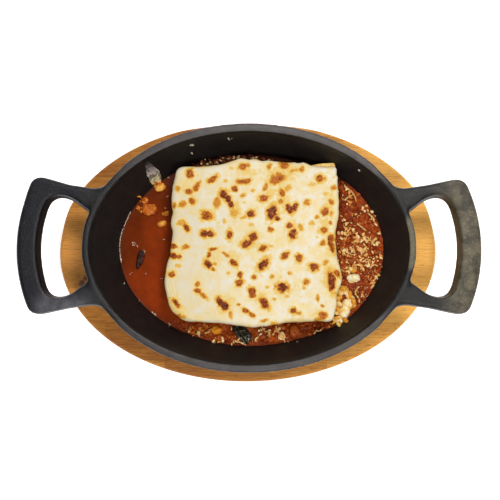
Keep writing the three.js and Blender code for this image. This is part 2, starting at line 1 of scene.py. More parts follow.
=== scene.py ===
# %% [markdown]
# # Lasagne bolognese in a cast-iron dish on a wooden board
#
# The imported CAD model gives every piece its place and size. This script keeps to it and makes what
# a cook and a camera would see: browned cheese, oily meat sauce, rough cast iron and oiled wood.
# Everything is drawn in millimetres and turned into metres when a mesh is made, because food and
# tableware are easier to picture in millimetres.

# %% Load the frame
import math

import bmesh
import bpy
import numpy as np
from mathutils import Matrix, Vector


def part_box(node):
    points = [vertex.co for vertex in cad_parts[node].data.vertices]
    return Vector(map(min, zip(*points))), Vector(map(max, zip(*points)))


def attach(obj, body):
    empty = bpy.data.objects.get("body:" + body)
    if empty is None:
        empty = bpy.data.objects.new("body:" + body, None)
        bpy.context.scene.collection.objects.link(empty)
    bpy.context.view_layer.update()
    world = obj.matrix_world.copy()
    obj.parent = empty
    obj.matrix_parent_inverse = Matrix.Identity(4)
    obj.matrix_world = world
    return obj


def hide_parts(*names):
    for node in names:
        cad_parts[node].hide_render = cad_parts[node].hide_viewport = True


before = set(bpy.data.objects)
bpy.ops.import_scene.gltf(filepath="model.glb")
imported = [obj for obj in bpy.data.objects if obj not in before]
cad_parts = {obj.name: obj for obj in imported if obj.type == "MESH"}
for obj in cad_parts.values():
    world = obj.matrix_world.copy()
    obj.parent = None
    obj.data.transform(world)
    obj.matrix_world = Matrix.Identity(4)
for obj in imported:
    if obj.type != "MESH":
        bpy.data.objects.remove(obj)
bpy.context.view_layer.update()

MM = 0.001

# %% [markdown]
# ## The camera
#
# The photo was taken from almost straight above, from about half a metre. The camera comes first,
# because small things such as the browned spots are placed where the photo shows them: a ray from
# the camera through a pixel meets the level surface that carries the thing.

# %% Camera
PHOTO_SIDE = 500  # pixels
ELEVATION = math.radians(84.6)
DISTANCE = 519  # from the camera to the point that it looks at
AIM = np.array([0.68, -4.45, 56.3])  # that point, at the height of the dish's rim
MM_PER_PIXEL = 0.6825  # at that point
SENSOR = 36
DISH_Y = -1.5  # the dish stands a little nearer than the middle of the board

forward = np.array([0, math.cos(ELEVATION), -math.sin(ELEVATION)])
upward = np.array([0, math.sin(ELEVATION), math.cos(ELEVATION)])
eye = AIM - forward * DISTANCE

camera_data = bpy.data.cameras.new("camera")
camera_data.sensor_width = SENSOR
camera_data.lens = SENSOR * DISTANCE / (MM_PER_PIXEL * PHOTO_SIDE)
camera = bpy.data.objects.new("camera", camera_data)
camera.location = eye * MM
camera.rotation_euler = (math.pi / 2 - ELEVATION, 0, 0)
bpy.context.scene.collection.objects.link(camera)
bpy.context.scene.camera = camera


def seen_at(px, py, height):
    """Where the photo's pixels lie on the level plane at that height, in the dish's own frame."""
    side = (np.asarray(px) - PHOTO_SIDE / 2) * MM_PER_PIXEL / DISTANCE
    up = -(np.asarray(py) - PHOTO_SIDE / 2) * MM_PER_PIXEL / DISTANCE
    ray_y, ray_z = (forward[i] + up * upward[i] for i in (1, 2))
    far = (height - eye[2]) / ray_z
    return eye[0] + side * far, eye[1] + ray_y * far - DISH_Y


print("lens", round(camera_data.lens, 2), "mm, camera at", (eye * MM).round(3))

# %% [markdown]
# ## Helpers for uneven things
#
# Food and castings are never even. A smooth repeatable noise moves points about, and most pieces are
# built as a stack of rings, because a ring is easy to bend, frill and sink by hand. Each mesh is one
# closed surface, so it also works as a solid.

# %% Noise
def corner_value(x, y, z, seed):
    """A repeatable number from -1 to 1 for each corner of a grid of cubes."""
    mixed = (x * 374761393 + y * 668265263 + z * 1274126177 + seed * 974634777) & 0xFFFFFFFF
    mixed = ((mixed ^ (mixed >> 13)) * 1103515245) & 0xFFFFFFFF
    return ((mixed ^ (mixed >> 16)) & 0xFFFF) / 32767.5 - 1


def noise(points, size, seed=0):
    """Smooth noise from -1 to 1 at points (..., 3), with hills and hollows about size across."""
    place = np.asarray(points, float) / size
    corner = np.floor(place).astype(np.int64)
    part = place - corner
    part = part * part * (3 - 2 * part)
    total = 0
    for step in np.ndindex(2, 2, 2):
        share = np.prod(np.where(np.array(step) == 1, part, 1 - part), axis=-1)
        at = corner + np.array(step)
        total = total + share * corner_value(at[..., 0], at[..., 1], at[..., 2], seed)
    return total


def rough(points, size, seed=0, layers=3):
    """Noise with finer noise on it."""
    return sum(noise(points, size / 2**i, seed + 7 * i) / 2**i for i in range(layers))


def ease(value, low, high):
    """0 below low, 1 above high, and a smooth step between them."""
    part = np.clip((value - low) / (high - low), 0, 1)
    return part * part * (3 - 2 * part)


def ridge(value, width):
    """1 at 0, fading to nothing on both sides."""
    return np.exp(-((value / width) ** 2))


def spatial(x, y, z=0):
    """Points (..., 3) from coordinates of any like shapes."""
    return np.stack(np.broadcast_arrays(x, y, z), axis=-1).astype(float)


print("noise every 2 mm:", noise(spatial(np.arange(0, 10, 2), 0), 4).round(2))

# %% Meshes from points
def new_piece(name, points, faces, values=None, in_dish=True):
    """A mesh object from points in millimetres. values holds numbers for each point, for the shader."""
    points = np.asarray(points, float) + ([0, DISH_Y, 0] if in_dish else [0, 0, 0])
    mesh = bpy.data.meshes.new(name)
    mesh.from_pydata((points * MM).tolist(), [], [list(face) for face in faces])
    for key, numbers in (values or {}).items():
        layer = mesh.attributes.new(key, "FLOAT", "POINT")
        layer.data.foreach_set("value", np.asarray(numbers, np.float32).ravel())
    work = bmesh.new()
    work.from_mesh(mesh)
    bmesh.ops.recalc_face_normals(work, faces=work.faces)
    work.to_mesh(mesh)
    work.free()
    mesh.polygons.foreach_set("use_smooth", [True] * len(mesh.polygons))
    piece = bpy.data.objects.new(name, mesh)
    bpy.context.scene.collection.objects.link(piece)
    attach(piece, "root")
    return piece


def ring_faces(rows, around, joined=False):
    """Quads between rings of points, and between the last ring and the first where they are joined."""
    row, col = np.meshgrid(np.arange(rows if joined else rows - 1), np.arange(around), indexing="ij")
    after, beside = (row + 1) % rows, (col + 1) % around
    corners = [row * around + col, row * around + beside, after * around + beside, after * around + col]
    return np.stack(corners, axis=-1).reshape(-1, 4).tolist()


def ringed(name, rings, values=None, joined=False, in_dish=True):
    """A piece from rings (rows, around, 3), from below outwards and up. Open ends get a fan each."""
    rings = np.asarray(rings, float)
    rows, around = rings.shape[:2]
    points = rings.reshape(-1, 3)
    values = {key: np.asarray(numbers, float).ravel() for key, numbers in (values or {}).items()}
    faces = ring_faces(rows, around, joined)
    if not joined:
        low, high = len(points), len(points) + 1
        points = np.vstack([points, rings[0].mean(axis=0), rings[-1].mean(axis=0)])
        first, last = np.arange(around), (rows - 1) * around + np.arange(around)
        faces += np.stack([np.full(around, low), np.roll(first, -1), first], axis=-1).tolist()
        faces += np.stack([np.full(around, high), last, np.roll(last, -1)], axis=-1).tolist()
        ends = {key: [v[first].mean(), v[last].mean()] for key, v in values.items()}
        values = {key: np.concatenate([v, ends[key]]) for key, v in values.items()}
    piece = new_piece(name, points, faces, values, in_dish)
    print(name, len(points), "points")
    return piece


def stands_for(piece, slot, *nodes):
    """Hides the CAD nodes that a piece replaces. The slot is not used."""
    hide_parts(*nodes)
    return piece


def settle(piece):
    """Applies the modifiers of a piece to its mesh."""
    graph = bpy.context.evaluated_depsgraph_get()
    made = bpy.data.meshes.new_from_object(piece.evaluated_get(graph))
    piece.modifiers.clear()
    piece.data = made


def remeshed(piece, cell, rounds):
    """Gives a piece an even mesh with cells of that size, and softens it that many rounds."""
    remesh = piece.modifiers.new("remesh", "REMESH")
    remesh.mode, remesh.voxel_size, remesh.use_smooth_shade = "VOXEL", cell * MM, True
    soften = piece.modifiers.new("soften", "SMOOTH")
    soften.factor, soften.iterations = 0.5, rounds
    settle(piece)
    print(piece.name, len(piece.data.vertices), "points after remeshing")


def rows_of(points, key):
    """A vector of each point of a mesh, as rows of three numbers in millimetres or as directions."""
    found = np.empty(len(points) * 3)
    points.foreach_get(key, found)
    return found.reshape(-1, 3) / (MM if key == "co" else 1)


print("between 4 rings of 6 points lie", len(ring_faces(4, 6)), "faces")

# %% [markdown]
# ## Shader maths as Python
#
# A material is a net of nodes. Long formulas are hard to read as node calls, so a small class wraps
# a socket and turns +, -, * and / into Math nodes. Every other node comes from one method.

# %% Sockets and finishes
class Value:
    """An output socket that can be used in sums: each operator adds one Math node."""

    def __init__(self, finish, socket):
        self.finish, self.socket = finish, socket

    def math(self, operation, *values):
        return self.finish.node("ShaderNodeMath", {"operation": operation}, dict(enumerate(values)))

    def __add__(self, other):
        return self.math("ADD", self, other)

    def __sub__(self, other):
        return self.math("SUBTRACT", self, other)

    def __rsub__(self, other):
        return self.math("SUBTRACT", other, self)

    def __mul__(self, other):
        return self.math("MULTIPLY", self, other)

    def __truediv__(self, other):
        return self.math("DIVIDE", self, other)

    __radd__, __rmul__ = __add__, __mul__

    def floor(self):
        return self.math("FLOOR", self)

    def size(self):
        """The value without its sign."""
        return self.math("ABSOLUTE", self)

    def most(self, other):
        return self.math("MAXIMUM", self, other)

    def step(self, low, high):
        """0 below low, 1 above high, smooth between."""
        settings = {"interpolation_type": "SMOOTHSTEP"}
        return self.finish.node("ShaderNodeMapRange", settings, {0: self, 1: low, 2: high})


class Finish:
    """A material with one Principled shader, and short ways to feed it."""

    def __init__(self, name, **constants):
        self.material = bpy.data.materials.new(name)
        self.material.use_nodes = True
        self.tree = self.material.node_tree
        self.shader = self.tree.nodes["Principled BSDF"]
        for key, value in constants.items():
            self.shader.inputs[key.replace("_", " ")].default_value = value

    def fill(self, socket, value):
        if isinstance(value, Value):
            self.tree.links.new(value.socket, socket)
        elif isinstance(value, tuple) and len(value) == 3 and len(socket.default_value) == 4:
            socket.default_value = (*value, 1)
        else:
            socket.default_value = value

    def node(self, kind, settings=None, inputs=None, out=0):
        """Any node: its settings first, then the values or links of its sockets."""
        made = self.tree.nodes.new(kind)
        for key, value in (settings or {}).items():
            if key == "stops":
                for _ in value[2:]:
                    made.color_ramp.elements.new(0.5)
                for element, (at, colour) in zip(made.color_ramp.elements, value):
                    element.position, element.color = at, (*colour, 1)
            else:
                setattr(made, key, value)
        for key, value in (inputs or {}).items():
            self.fill(made.inputs[key], value)
        return Value(self, made.outputs[out])

    def feed(self, **values):
        """Links what varies over the surface to the shader."""
        for key, value in values.items():
            self.fill(self.shader.inputs[key.replace("_", " ")], value)

    def place(self, stretch=(1, 1, 1)):
        """The point on the surface, in millimetres, stretched along each axis."""
        here = self.node("ShaderNodeTexCoord", out="Object")
        scale = tuple(1000 * part for part in stretch)
        return self.node("ShaderNodeVectorMath", {"operation": "MULTIPLY"}, {0: here, 1: scale})

    def along(self, axis):
        """One coordinate of the point, in millimetres."""
        return self.node("ShaderNodeSeparateXYZ", {}, {0: self.place()}, out=axis)

    def number(self, name):
        """The numbers that a mesh holds for its points."""
        return self.node("ShaderNodeAttribute", {"attribute_name": name}, out="Fac")

    def noise(self, size, detail=2, rough=0.5, stretch=(1, 1, 1)):
        """Noise from 0 to 1 with patches about size millimetres across."""
        inputs = {"Vector": self.place(stretch), "Scale": 1 / size, "Detail": detail, "Roughness": rough}
        return self.node("ShaderNodeTexNoise", {}, inputs)

    def cells(self, size):
        """Distance from the middle of scattered cells, from 0 to about 1."""
        inputs = {"Vector": self.place(), "Scale": 1 / size}
        return self.node("ShaderNodeTexVoronoi", {"feature": "F1"}, inputs, out="Distance")

    def mix(self, factor, first, second):
        """The first colour where factor is 0 and the second where it is 1."""
        return self.node("ShaderNodeMix", {"data_type": "RGBA"}, {0: factor, 6: first, 7: second}, out=2)

    def coats(self, colour, *coats):
        """A colour painted over, coat by coat: each is a mask and then red, green and blue."""
        for mask, *shade in coats:
            colour = self.mix(mask, colour, paint(*shade))
        return colour

    def ramp(self, factor, *stops):
        """Colours in a row: each stop is a number from 0 to 1 and then red, green and blue."""
        stops = [(at, paint(*shade)) for at, *shade in stops]
        return self.node("ShaderNodeValToRGB", {"stops": stops}, {0: factor})

    def bump(self, height, depth, strength=1.0, over=None):
        """A normal from a height from 0 to 1 that is depth millimetres deep."""
        inputs = {"Strength": strength, "Distance": depth * MM, "Height": height}
        if over is not None:
            inputs["Normal"] = over
        return self.node("ShaderNodeBump", {}, inputs)

    def put_on(self, *pieces):
        for piece in pieces:
            piece.data.materials.clear()
            piece.data.materials.append(self.material)
        print(self.material.name, len(self.tree.nodes), "nodes, on", *(piece.name for piece in pieces))


def paint(red, green, blue):
    """A colour as a paint program shows it, from 0 to 255, turned into amounts of light."""
    parts = [part / 255 for part in (red, green, blue)]
    return tuple(p / 12.92 if p <= 0.04045 else ((p + 0.055) / 1.055) ** 2.4 for p in parts)


print("golden cheese as amounts of light:", [round(part, 3) for part in paint(213, 156, 56)])

# %% [markdown]
# ## The wooden board
#
# The dish stands in a shallow recess of an oval board, so that nobody burns the table. A bevelled
# cylinder would do for a plain oval. A stack of oval rings also gives the recess with its soft edge
# and lets the far shoulders be a little fuller than an ellipse, as they are in the photo.

# %% Board shape
BOARD = {"x": -0.95, "y": -1.05, "half_length": 138.7, "half_width": 95.45, "thickness": 16, "edge": 3.2}
BOARD_TURNED = 0.6  # degrees
SHOULDERS = 2.2  # how much fuller than an ellipse the far half is, between its ends and its middle
RECESS = {"half_length": 95, "half_width": 70.94, "depth": 5, "edge": 0.9}
round_board = np.linspace(0, 2 * np.pi, 320, endpoint=False)


def oval(turns, half_length, half_width, z):
    return spatial(half_length * np.cos(turns), half_width * np.sin(turns), z)


def board_rings():
    length, width, edge, top = (BOARD[key] for key in ("half_length", "half_width", "edge", "thickness"))
    quarter = np.linspace(0, np.pi / 2, 7)
    inset, rise = edge * (1 - np.sin(quarter)), edge * (1 - np.cos(quarter))
    section = [*zip(inset, rise), *zip(inset[::-1], top - rise[::-1])]  # how far in, and how high
    rings = [oval(round_board, (length - edge) * part, (width - edge) * part, 0) for part in (0.3, 0.7)]
    far_half = np.sin(round_board) > 0
    fuller = 1 + SHOULDERS / length * ease(np.sin(2 * round_board) ** 2, 0, 0.5) * far_half
    outside = [oval(round_board, length - inset, width - inset, z) for inset, z in section]
    rings += [ring * spatial(fuller, fuller, 1) for ring in outside]
    shift = np.array([-BOARD["x"], DISH_Y - BOARD["y"], 0])
    recess, across, soft = RECESS["half_length"], RECESS["half_width"], RECESS["edge"]
    deep = top - RECESS["depth"]
    for grow, z in ((2.4 * soft, top), (0.9 * soft, top - 0.3 * soft), (0, top - 1.3 * soft), (0, deep)):
        rings.append(oval(round_board, recess + grow, across + grow, z) + shift)
    rings.append(oval(round_board, recess / 2, across / 2, deep) + shift)
    rings = np.array(rings)
    turned = math.radians(BOARD_TURNED)
    x, y = rings[..., 0].copy(), rings[..., 1].copy()
    rings[..., 0] = x * math.cos(turned) - y * math.sin(turned) + BOARD["x"]
    rings[..., 1] = x * math.sin(turned) + y * math.cos(turned) + BOARD["y"]
    return rings


board = stands_for(ringed("wooden_board", board_rings(), in_dish=False), "wood", "serving_board")

# %% [markdown]
# The board is glued up from narrow strips, and the grain runs along it. The strips are told apart by
# a number for each strip, rounded down from the place across the board. Long thin noise makes the
# grain. Pores, a few darker patches and a knot make it real wood. A photo of wood would look as good
# from one side only, while these formulas also work on the edge and underneath.

# %% Board finish
BOARD_MARK = (-119, -26, 16)  # a dark knot beside the left handle


def oiled_wood():
    wood = Finish("oiled_wood", Specular_IOR_Level=0.25)
    strip_width, strip_length = 27, 118
    x, y = wood.along("X"), wood.along("Y")
    across = (y + (wood.noise(60, 1) - 0.5) * 1.5) / strip_width
    strip = across.floor()
    block = strip * 7.31 + (x / strip_length + strip * 0.37).floor() * 3.17
    tone = wood.node("ShaderNodeTexWhiteNoise", {"noise_dimensions": "1D"}, {"W": block}, out="Value")
    long_grain = wood.noise(2.6, 3, 0.6, stretch=(0.045, 1, 0.6))
    fine_grain = wood.noise(0.6, 3, 0.65, stretch=(0.05, 1, 0.6))
    cloud = wood.noise(34, 2, 0.5, stretch=(0.4, 1, 1))
    pores = 1 - wood.noise(0.55, 1, 0.5, stretch=(0.08, 1, 1)).step(0.3, 0.42)
    knots = wood.noise(15, 2, 0.5, stretch=(0.35, 1, 1)).step(0.66, 0.8)
    joint = (across - strip - 0.5).size().step(0.487, 0.499)
    # Painted light: the wood is painted paler towards the lamps on the right.
    painted_light_right = x.step(-60, 150)  # towards the lamps on the right
    # Painted light: the wood seen through the handles' gaps is painted brighter, against the handles' shadow.
    gap_painted_light = x.size().step(104, 118) * (1 - (y + 2).size().step(28, 36))  # seen through the handles
    away = {0: wood.place(), 1: BOARD_MARK}
    from_mark = wood.node("ShaderNodeVectorMath", {"operation": "DISTANCE"}, away, out="Value")
    mark = (1 - from_mark.step(3, 12)) * wood.noise(5, 2).step(0.3, 0.6)
    shade = 0.24 * long_grain + 0.42 * fine_grain + 0.14 * cloud + 0.1 * tone + 0.15 * painted_light_right - 0.035
    stops = (0.3, 156, 88, 28), (0.45, 206, 136, 54), (0.58, 244, 176, 80), (0.75, 254, 200, 104)
    # The painted light of the gaps, paler towards the right.
    painted_gap_light = wood.mix(painted_light_right, paint(250, 172, 84), paint(255, 192, 98))
    colour = wood.coats(
        wood.mix(gap_painted_light * (0.45 + 0.35 * fine_grain.step(0.3, 0.65)), wood.ramp(shade, *stops), painted_gap_light),
        (pores * 0.35, 140, 80, 28),
        (knots * 0.5, 126, 70, 28),
        (mark * 0.9, 84, 50, 44),
        (joint * 0.35, 110, 62, 24),
    )
    wood.feed(Base_Color=colour, Roughness=0.45 + 0.2 * long_grain)
    wood.feed(Normal=wood.bump(long_grain + 0.5 * fine_grain - pores, 0.12, 0.6))
    return wood


oiled_wood().put_on(board)

# %% [markdown]
# ## The cast-iron dish
#
# The dish is cast in one piece, with an oval bowl and two flat loops for handles. The bowl is turned
# from rings, because its wall leans and then curves into the floor. The rim isn't quite an ellipse:
# its lip is drawn a little out or in where the photo shows it.

# %% Walls of the dish
BASE_Z = 11.3
RIM_Z = 56.3
FLOOR_Z = 16.3
LEAN = 0.6  # how far the wall leans in for each millimetre down
WIDTH_SHARE = 0.708  # how much of that the half width loses, to each millimetre of the half length
INSIDE = {"length": 109.4, "width": 80, "lip": 1.5, "curve": 30, "floor": 78, "deep": 40}
OUTSIDE = {"length": 115, "width": 85.1, "lip": 2, "curve": 33, "floor": 84, "deep": 45}


def wall_length(wall, depth):
    """Half length of a wall at a depth below the rim: a lean, then a quarter ellipse to the floor."""
    depth = np.asarray(depth, float)
    leaning = wall["length"] - LEAN * np.maximum(0, np.minimum(depth, wall["curve"]) - wall["lip"])
    down = np.clip((depth - wall["curve"]) / (wall["deep"] - wall["curve"]), 0, 1)
    return wall["floor"] + (leaning - wall["floor"]) * np.sqrt(1 - down * down)


def wall_width(wall, half_length):
    return wall["width"] - WIDTH_SHARE * (wall["length"] - half_length)


round_dish = np.linspace(0, 2 * np.pi, 288, endpoint=False)


def wall_ring(wall, depth):
    length = wall_length(wall, depth)
    return oval(round_dish, length, wall_width(wall, length), RIM_Z - depth)


print("inside of the rim:", 2 * INSIDE["length"], "by", 2 * INSIDE["width"], "mm")

# %% Rings of the bowl
LIP_OUTSIDE = (1.2, 0.9)  # how far the lip lies out at the near side, and at the far side
LIP_INSIDE = (0.5, -0.9)


def bowl_rings():
    def bend_depths(wall):
        """Depths of the rings where the wall turns into the floor, from the wall down."""
        return wall["curve"] + (wall["deep"] - wall["curve"]) * np.sin(np.linspace(0, np.pi / 2, 9))

    def lip(wall, moved, inset, depth):
        ring = oval(round_dish, wall["length"] - inset, wall["width"] - inset, RIM_Z - depth)
        side = np.sin(round_dish)
        ring[:, 1] += moved[0] * np.minimum(side, 0) + moved[1] * np.maximum(side, 0)
        return ring

    rings = [oval(round_dish, 40, 30, BASE_Z)]
    rings += [wall_ring(OUTSIDE, depth) for depth in [*bend_depths(OUTSIDE)[::-1], 24, 18, 12, 6]]
    rings += [lip(OUTSIDE, LIP_OUTSIDE, *at) for at in ((0, 2), (0.25, 1.1), (0.9, 0.35), (1.9, 0))]
    rings += [lip(INSIDE, LIP_INSIDE, *at) for at in ((-1.8, 0), (-0.9, 0.3), (-0.3, 0.9))]
    rings += [wall_ring(INSIDE, depth) for depth in [1.8, 6, 12, 18, 24, *bend_depths(INSIDE)]]
    rings.append(oval(round_dish, 40, 30, FLOOR_Z))
    return rings


print("rings of the bowl:", len(bowl_rings()))

# %% [markdown]
# Each handle is a thick loop. It could be a bent bar, but its arms widen into the grip, so an outline
# of its edge and another of its finger gap are drawn from the handle's own dimensions. Both are
# stacked into solids with rounded edges, and the gap is cut from the loop.

# %% Handle outlines
HANDLE = {"reach": 159.8, "radius": 108, "corner_y": 41.5, "thickness": 11, "below_rim": 0.8, "round": 2.6}
HOLE = {"reach": 144.2, "radius": 82, "corner_y": 23, "half_width": 34, "draft": 1.8, "round": 1.8}
ARM_EDGE = {
    "root": (86, 52),
    "foot": (93.5, 47.8),
    "throat": (100.5, 39.4),
    "neck": (110, 40.7),
    "arm": (124, 42.7),
    "shoulder": (140, 46.2),
    "corner": (148.6, 48),
}
HOLE_EDGE = {"root": (106, 19.5), "arm": (117, 27.6), "bend_x": 124.5, "widest_x": 131, "corner_x": 138.6}


def bend(start, control, end, steps=9):
    """Points of a quadratic curve, without its start."""
    t = np.linspace(0, 1, steps + 1)[1:, None]
    start, control, end = map(np.array, (start, control, end))
    return (1 - t) ** 2 * start + 2 * t * (1 - t) * control + t**2 * end


def bulge(reach, radius, end_y, steps=30):
    """Points of an arc that bulges towards +X, from +end_y to -end_y."""
    half = math.asin(end_y / radius)
    angles = np.linspace(half, -half, steps)
    return np.stack([reach - radius * (1 - np.cos(angles)), radius * np.sin(angles)], axis=-1)


def mirrored(upper):
    """An outline from its half at +Y: the other half is the same, backwards, at -Y."""
    return np.vstack([upper, (np.array(upper) * [1, -1])[::-1]])


def handle_outline():
    grip = bulge(HANDLE["reach"], HANDLE["radius"], HANDLE["corner_y"])
    edge = ARM_EDGE
    upper = [np.array([edge["root"], edge["foot"]]), bend(edge["foot"], edge["throat"], edge["neck"])]
    upper += [np.array([edge["arm"], edge["shoulder"]]), bend(edge["shoulder"], edge["corner"], grip[0])]
    return mirrored(np.vstack([*upper, grip[1 : len(grip) // 2]]))[::-1]


def hole_outline():
    grip = bulge(HOLE["reach"], HOLE["radius"], HOLE["corner_y"])
    half, edge = HOLE["half_width"], HOLE_EDGE
    widest = (edge["widest_x"], half)
    upper = [np.array([edge["root"], edge["arm"]]), bend(edge["arm"], (edge["bend_x"], half), widest)]
    upper += [bend(widest, (edge["corner_x"], half), grip[0]), grip[1 : len(grip) // 2]]
    return mirrored(np.vstack(upper))[::-1]


print("points of a handle's outline:", len(handle_outline()), "and of its gap:", len(hole_outline()))


# %% Handle solids
def grown(outline, amount):
    """The outline moved outwards by amount, square to its edge."""
    ahead, behind = np.roll(outline, -1, axis=0), np.roll(outline, 1, axis=0)
    along = ahead - behind
    normal = np.stack([along[:, 1], -along[:, 0]], axis=-1)
    return outline + amount * normal / np.linalg.norm(normal, axis=1, keepdims=True)


def stacked(name, outline, levels):
    """A solid from one outline at several heights: levels holds (z, how much it is grown)."""
    rings = [spatial(*grown(outline, grow).T, z) for z, grow in levels]
    faces = ring_faces(len(levels), len(outline))
    faces.append(list(range(len(outline)))[::-1])
    faces.append([(len(levels) - 1) * len(outline) + i for i in range(len(outline))])
    return new_piece(name, np.vstack(rings), faces)


def rounded_levels(low, high, radius, flare=0.0, inward=True):
    """Levels of a side whose two edges are rounded, inwards for a solid and outwards for a hole."""
    sign = -1 if inward else 1
    angles = np.linspace(0, np.pi / 2, 6)
    below = [(low + radius * (1 - math.sin(a)), sign * radius * (1 - math.cos(a))) for a in angles[::-1]]
    above = [(high - radius * (1 - math.sin(a)), sign * radius * (1 - math.cos(a))) for a in angles]
    rise = flare / (high - low)
    return [(z, grow + rise * (z - low)) for z, grow in below + above]


def combine(target, tool, operation):
    """Joins tool to target, or cuts it away, and removes the tool."""
    modifier = target.modifiers.new("combine", "BOOLEAN")
    modifier.operation, modifier.solver, modifier.object = operation, "EXACT", tool
    settle(target)
    bpy.data.objects.remove(tool)


UNEVEN_CORNER = 1.8  # how much further out the far corner of the left handle is


def handle(side):
    """The handle at +X for side 1, and at -X for side -1."""
    top = RIM_Z - HANDLE["below_rim"]
    bottom = top - HANDLE["thickness"]
    outline = handle_outline() * side
    far_left = ease(-outline[:, 0], 120, 152) * ease(outline[:, 1], 28, 42)
    outline[:, 1] += UNEVEN_CORNER * far_left
    loop = stacked("loop", outline, rounded_levels(bottom, top, HANDLE["round"]))
    levels = rounded_levels(bottom, top, HOLE["round"], HOLE["draft"], inward=False)
    levels = [(bottom - 1, HOLE["round"]), *levels, (top + 1, HOLE["round"] + HOLE["draft"])]
    combine(loop, stacked("hole", hole_outline() * side, levels), "DIFFERENCE")
    print("handle at side", side, "has", len(loop.data.vertices), "points")
    return loop


print("a rounded side has", len(rounded_levels(0, HANDLE["thickness"], HANDLE["round"])), "levels")

# %% [markdown]
# A casting has no sharp inner corners: the handles flow into the bowl. Bevels fail where such curved
# solids meet. So the joined shape is remeshed evenly and smoothed a little, and more at the handles'
# roots, which gives the soft fillets that the sand mould leaves.

# %% Join, remesh and smooth the dish
def inner_space():
    """The space inside the bowl, open above the rim."""
    rings = [wall_ring(INSIDE, depth) for depth in (39.99, 39, 37, 34, 30, 20, 10, 1.5)]
    rings.append(oval(round_dish, INSIDE["length"], INSIDE["width"], RIM_Z + 10))
    return ringed("inner_space", rings)


ROOT_ALONG = (84, 92, 108, 116)  # the arms' roots, from the middle: starts, full, full, ends
ROOT_ACROSS = (12, 20, 50, 58)
ROOT_DEPTH = 8  # how far below the rim


def blend_roots(piece):
    """Smooths the dish more where the handles grow out of it."""

    def within(place, starts, full, still_full, ends):
        return ease(place, starts, full) * (1 - ease(place, still_full, ends))

    roots = piece.vertex_groups.new(name="roots")
    for vertex in piece.data.vertices:
        x, y, z = (abs(part) / MM for part in vertex.co)
        share = within(x, *ROOT_ALONG) * within(y, *ROOT_ACROSS)
        if share > 0 and z > RIM_Z - ROOT_DEPTH:
            roots.add([vertex.index], float(share), "REPLACE")
    flow = piece.modifiers.new("flow", "SMOOTH")
    flow.factor, flow.iterations, flow.vertex_group = 0.6, 30, "roots"
    settle(piece)
    piece.vertex_groups.clear()


def cast(name):
    piece = handle(1)
    combine(piece, handle(-1), "UNION")
    combine(piece, inner_space(), "DIFFERENCE")
    bowl = ringed(name, bowl_rings())
    combine(bowl, piece, "UNION")
    remeshed(bowl, cell=1.0, rounds=4)
    blend_roots(bowl)
    return bowl


dish = stands_for(cast("iron_dish"), "cast_iron", "cast_iron_dish")

# %% [markdown]
# Seasoned iron is a dark skin of baked oil over a pebbly casting. Rims and grips are rubbed by hands
# and spoons, so they are paler, and the inside stays nearly black. The pale rims and the right grip are
# also painted brighter towards the lamps on the right and far side, as painted highlight, and the left
# handle is painted darker, as painted shade. A painted mask would need an unwrapped mesh. How much a
# place is rubbed and lit follows instead from its height and from where it lies.

# %% Iron finish
def seasoned_iron():
    iron = Finish("seasoned_iron", Specular_IOR_Level=0.4)
    pebbles, patches = iron.noise(0.9, 3, 0.6), iron.noise(9, 3, 0.55)
    speckle_and_sparkle, blotches = iron.noise(1.1, 2, 0.7).step(0.5, 0.72), patches.step(0.32, 0.68)
    x, y, z = (iron.along(axis) for axis in "XYZ")
    # rim_top picks the top of the rim, which is worn paler and also carries painted highlight.
    rim_top, upper = z.step(RIM_Z - 0.8, RIM_Z - 0.35), z.step(RIM_Z - 5, RIM_Z - 3)
    left_end, right_end, beside_roots = 1 - x.step(-104, -84), x.step(84, 100), y.size().step(14, 20)
    roots = (left_end + right_end) * beside_roots * (1 - y.size().step(42, 54))
    # Painted highlight on the worn rim: brighter towards the right and far side, with painted shade nearly
    # taking it away at the left end.
    edge = rim_top * (0.35 + 0.65 * x.step(-110, -10)) * (0.7 + 0.3 * y.step(-60, 60))
    edge = edge * (1 - roots) * (1 - 0.9 * left_end)
    worn_lit_right_rim = rim_top * right_end * (1 - beside_roots)
    # Painted shade: the left handle is painted darker, away from the lamps, with painted sparkle on its upper
    # faces. Its near arm is painted lighter, as painted highlight.
    left_arm = 1 - x.step(-125, -95)
    near_left_arm = left_arm * (1 - y.step(-44, -28)) * x.step(-152, -136)
    # The right grip is worn paler and also painted lighter, as painted light from the lamps on the right.
    right_grip = x.step(120, 150)
    colour = iron.coats(
        iron.mix(patches.step(0.35, 0.7), paint(14, 12, 13), paint(23, 19, 19)),
        (left_arm * 0.95, 6, 6, 12),
        (left_arm * upper * speckle_and_sparkle * 0.5, 50, 48, 62),
        (near_left_arm * (0.4 + 0.6 * blotches), 92, 90, 97),
        (right_grip * (0.3 + 0.7 * blotches) * (0.5 + 0.5 * speckle_and_sparkle), 134, 124, 99),
        (edge * (0.4 + 0.8 * patches), 92, 87, 86),
        (worn_lit_right_rim * pebbles.step(0.3, 0.6), 112, 104, 76),
    )
    roughness = 0.38 + 0.3 * pebbles + 0.2 * left_arm * (1 - upper) - 0.14 * upper
    iron.feed(Base_Color=colour, Roughness=roughness)
    iron.feed(Normal=iron.bump(pebbles + 0.6 * patches, 0.35, 1.0))
    return iron


seasoned_iron().put_on(dish)

# %% [markdown]
# ## The outline of the portion
#
# A portion of lasagne is cut square, sags and bulges. Its outline could be drawn anew, but the CAD
# model already holds it, so it is read from there: the furthest point in each direction from the
# portion's middle, joined by a smooth curve. All layers then follow the same outline.

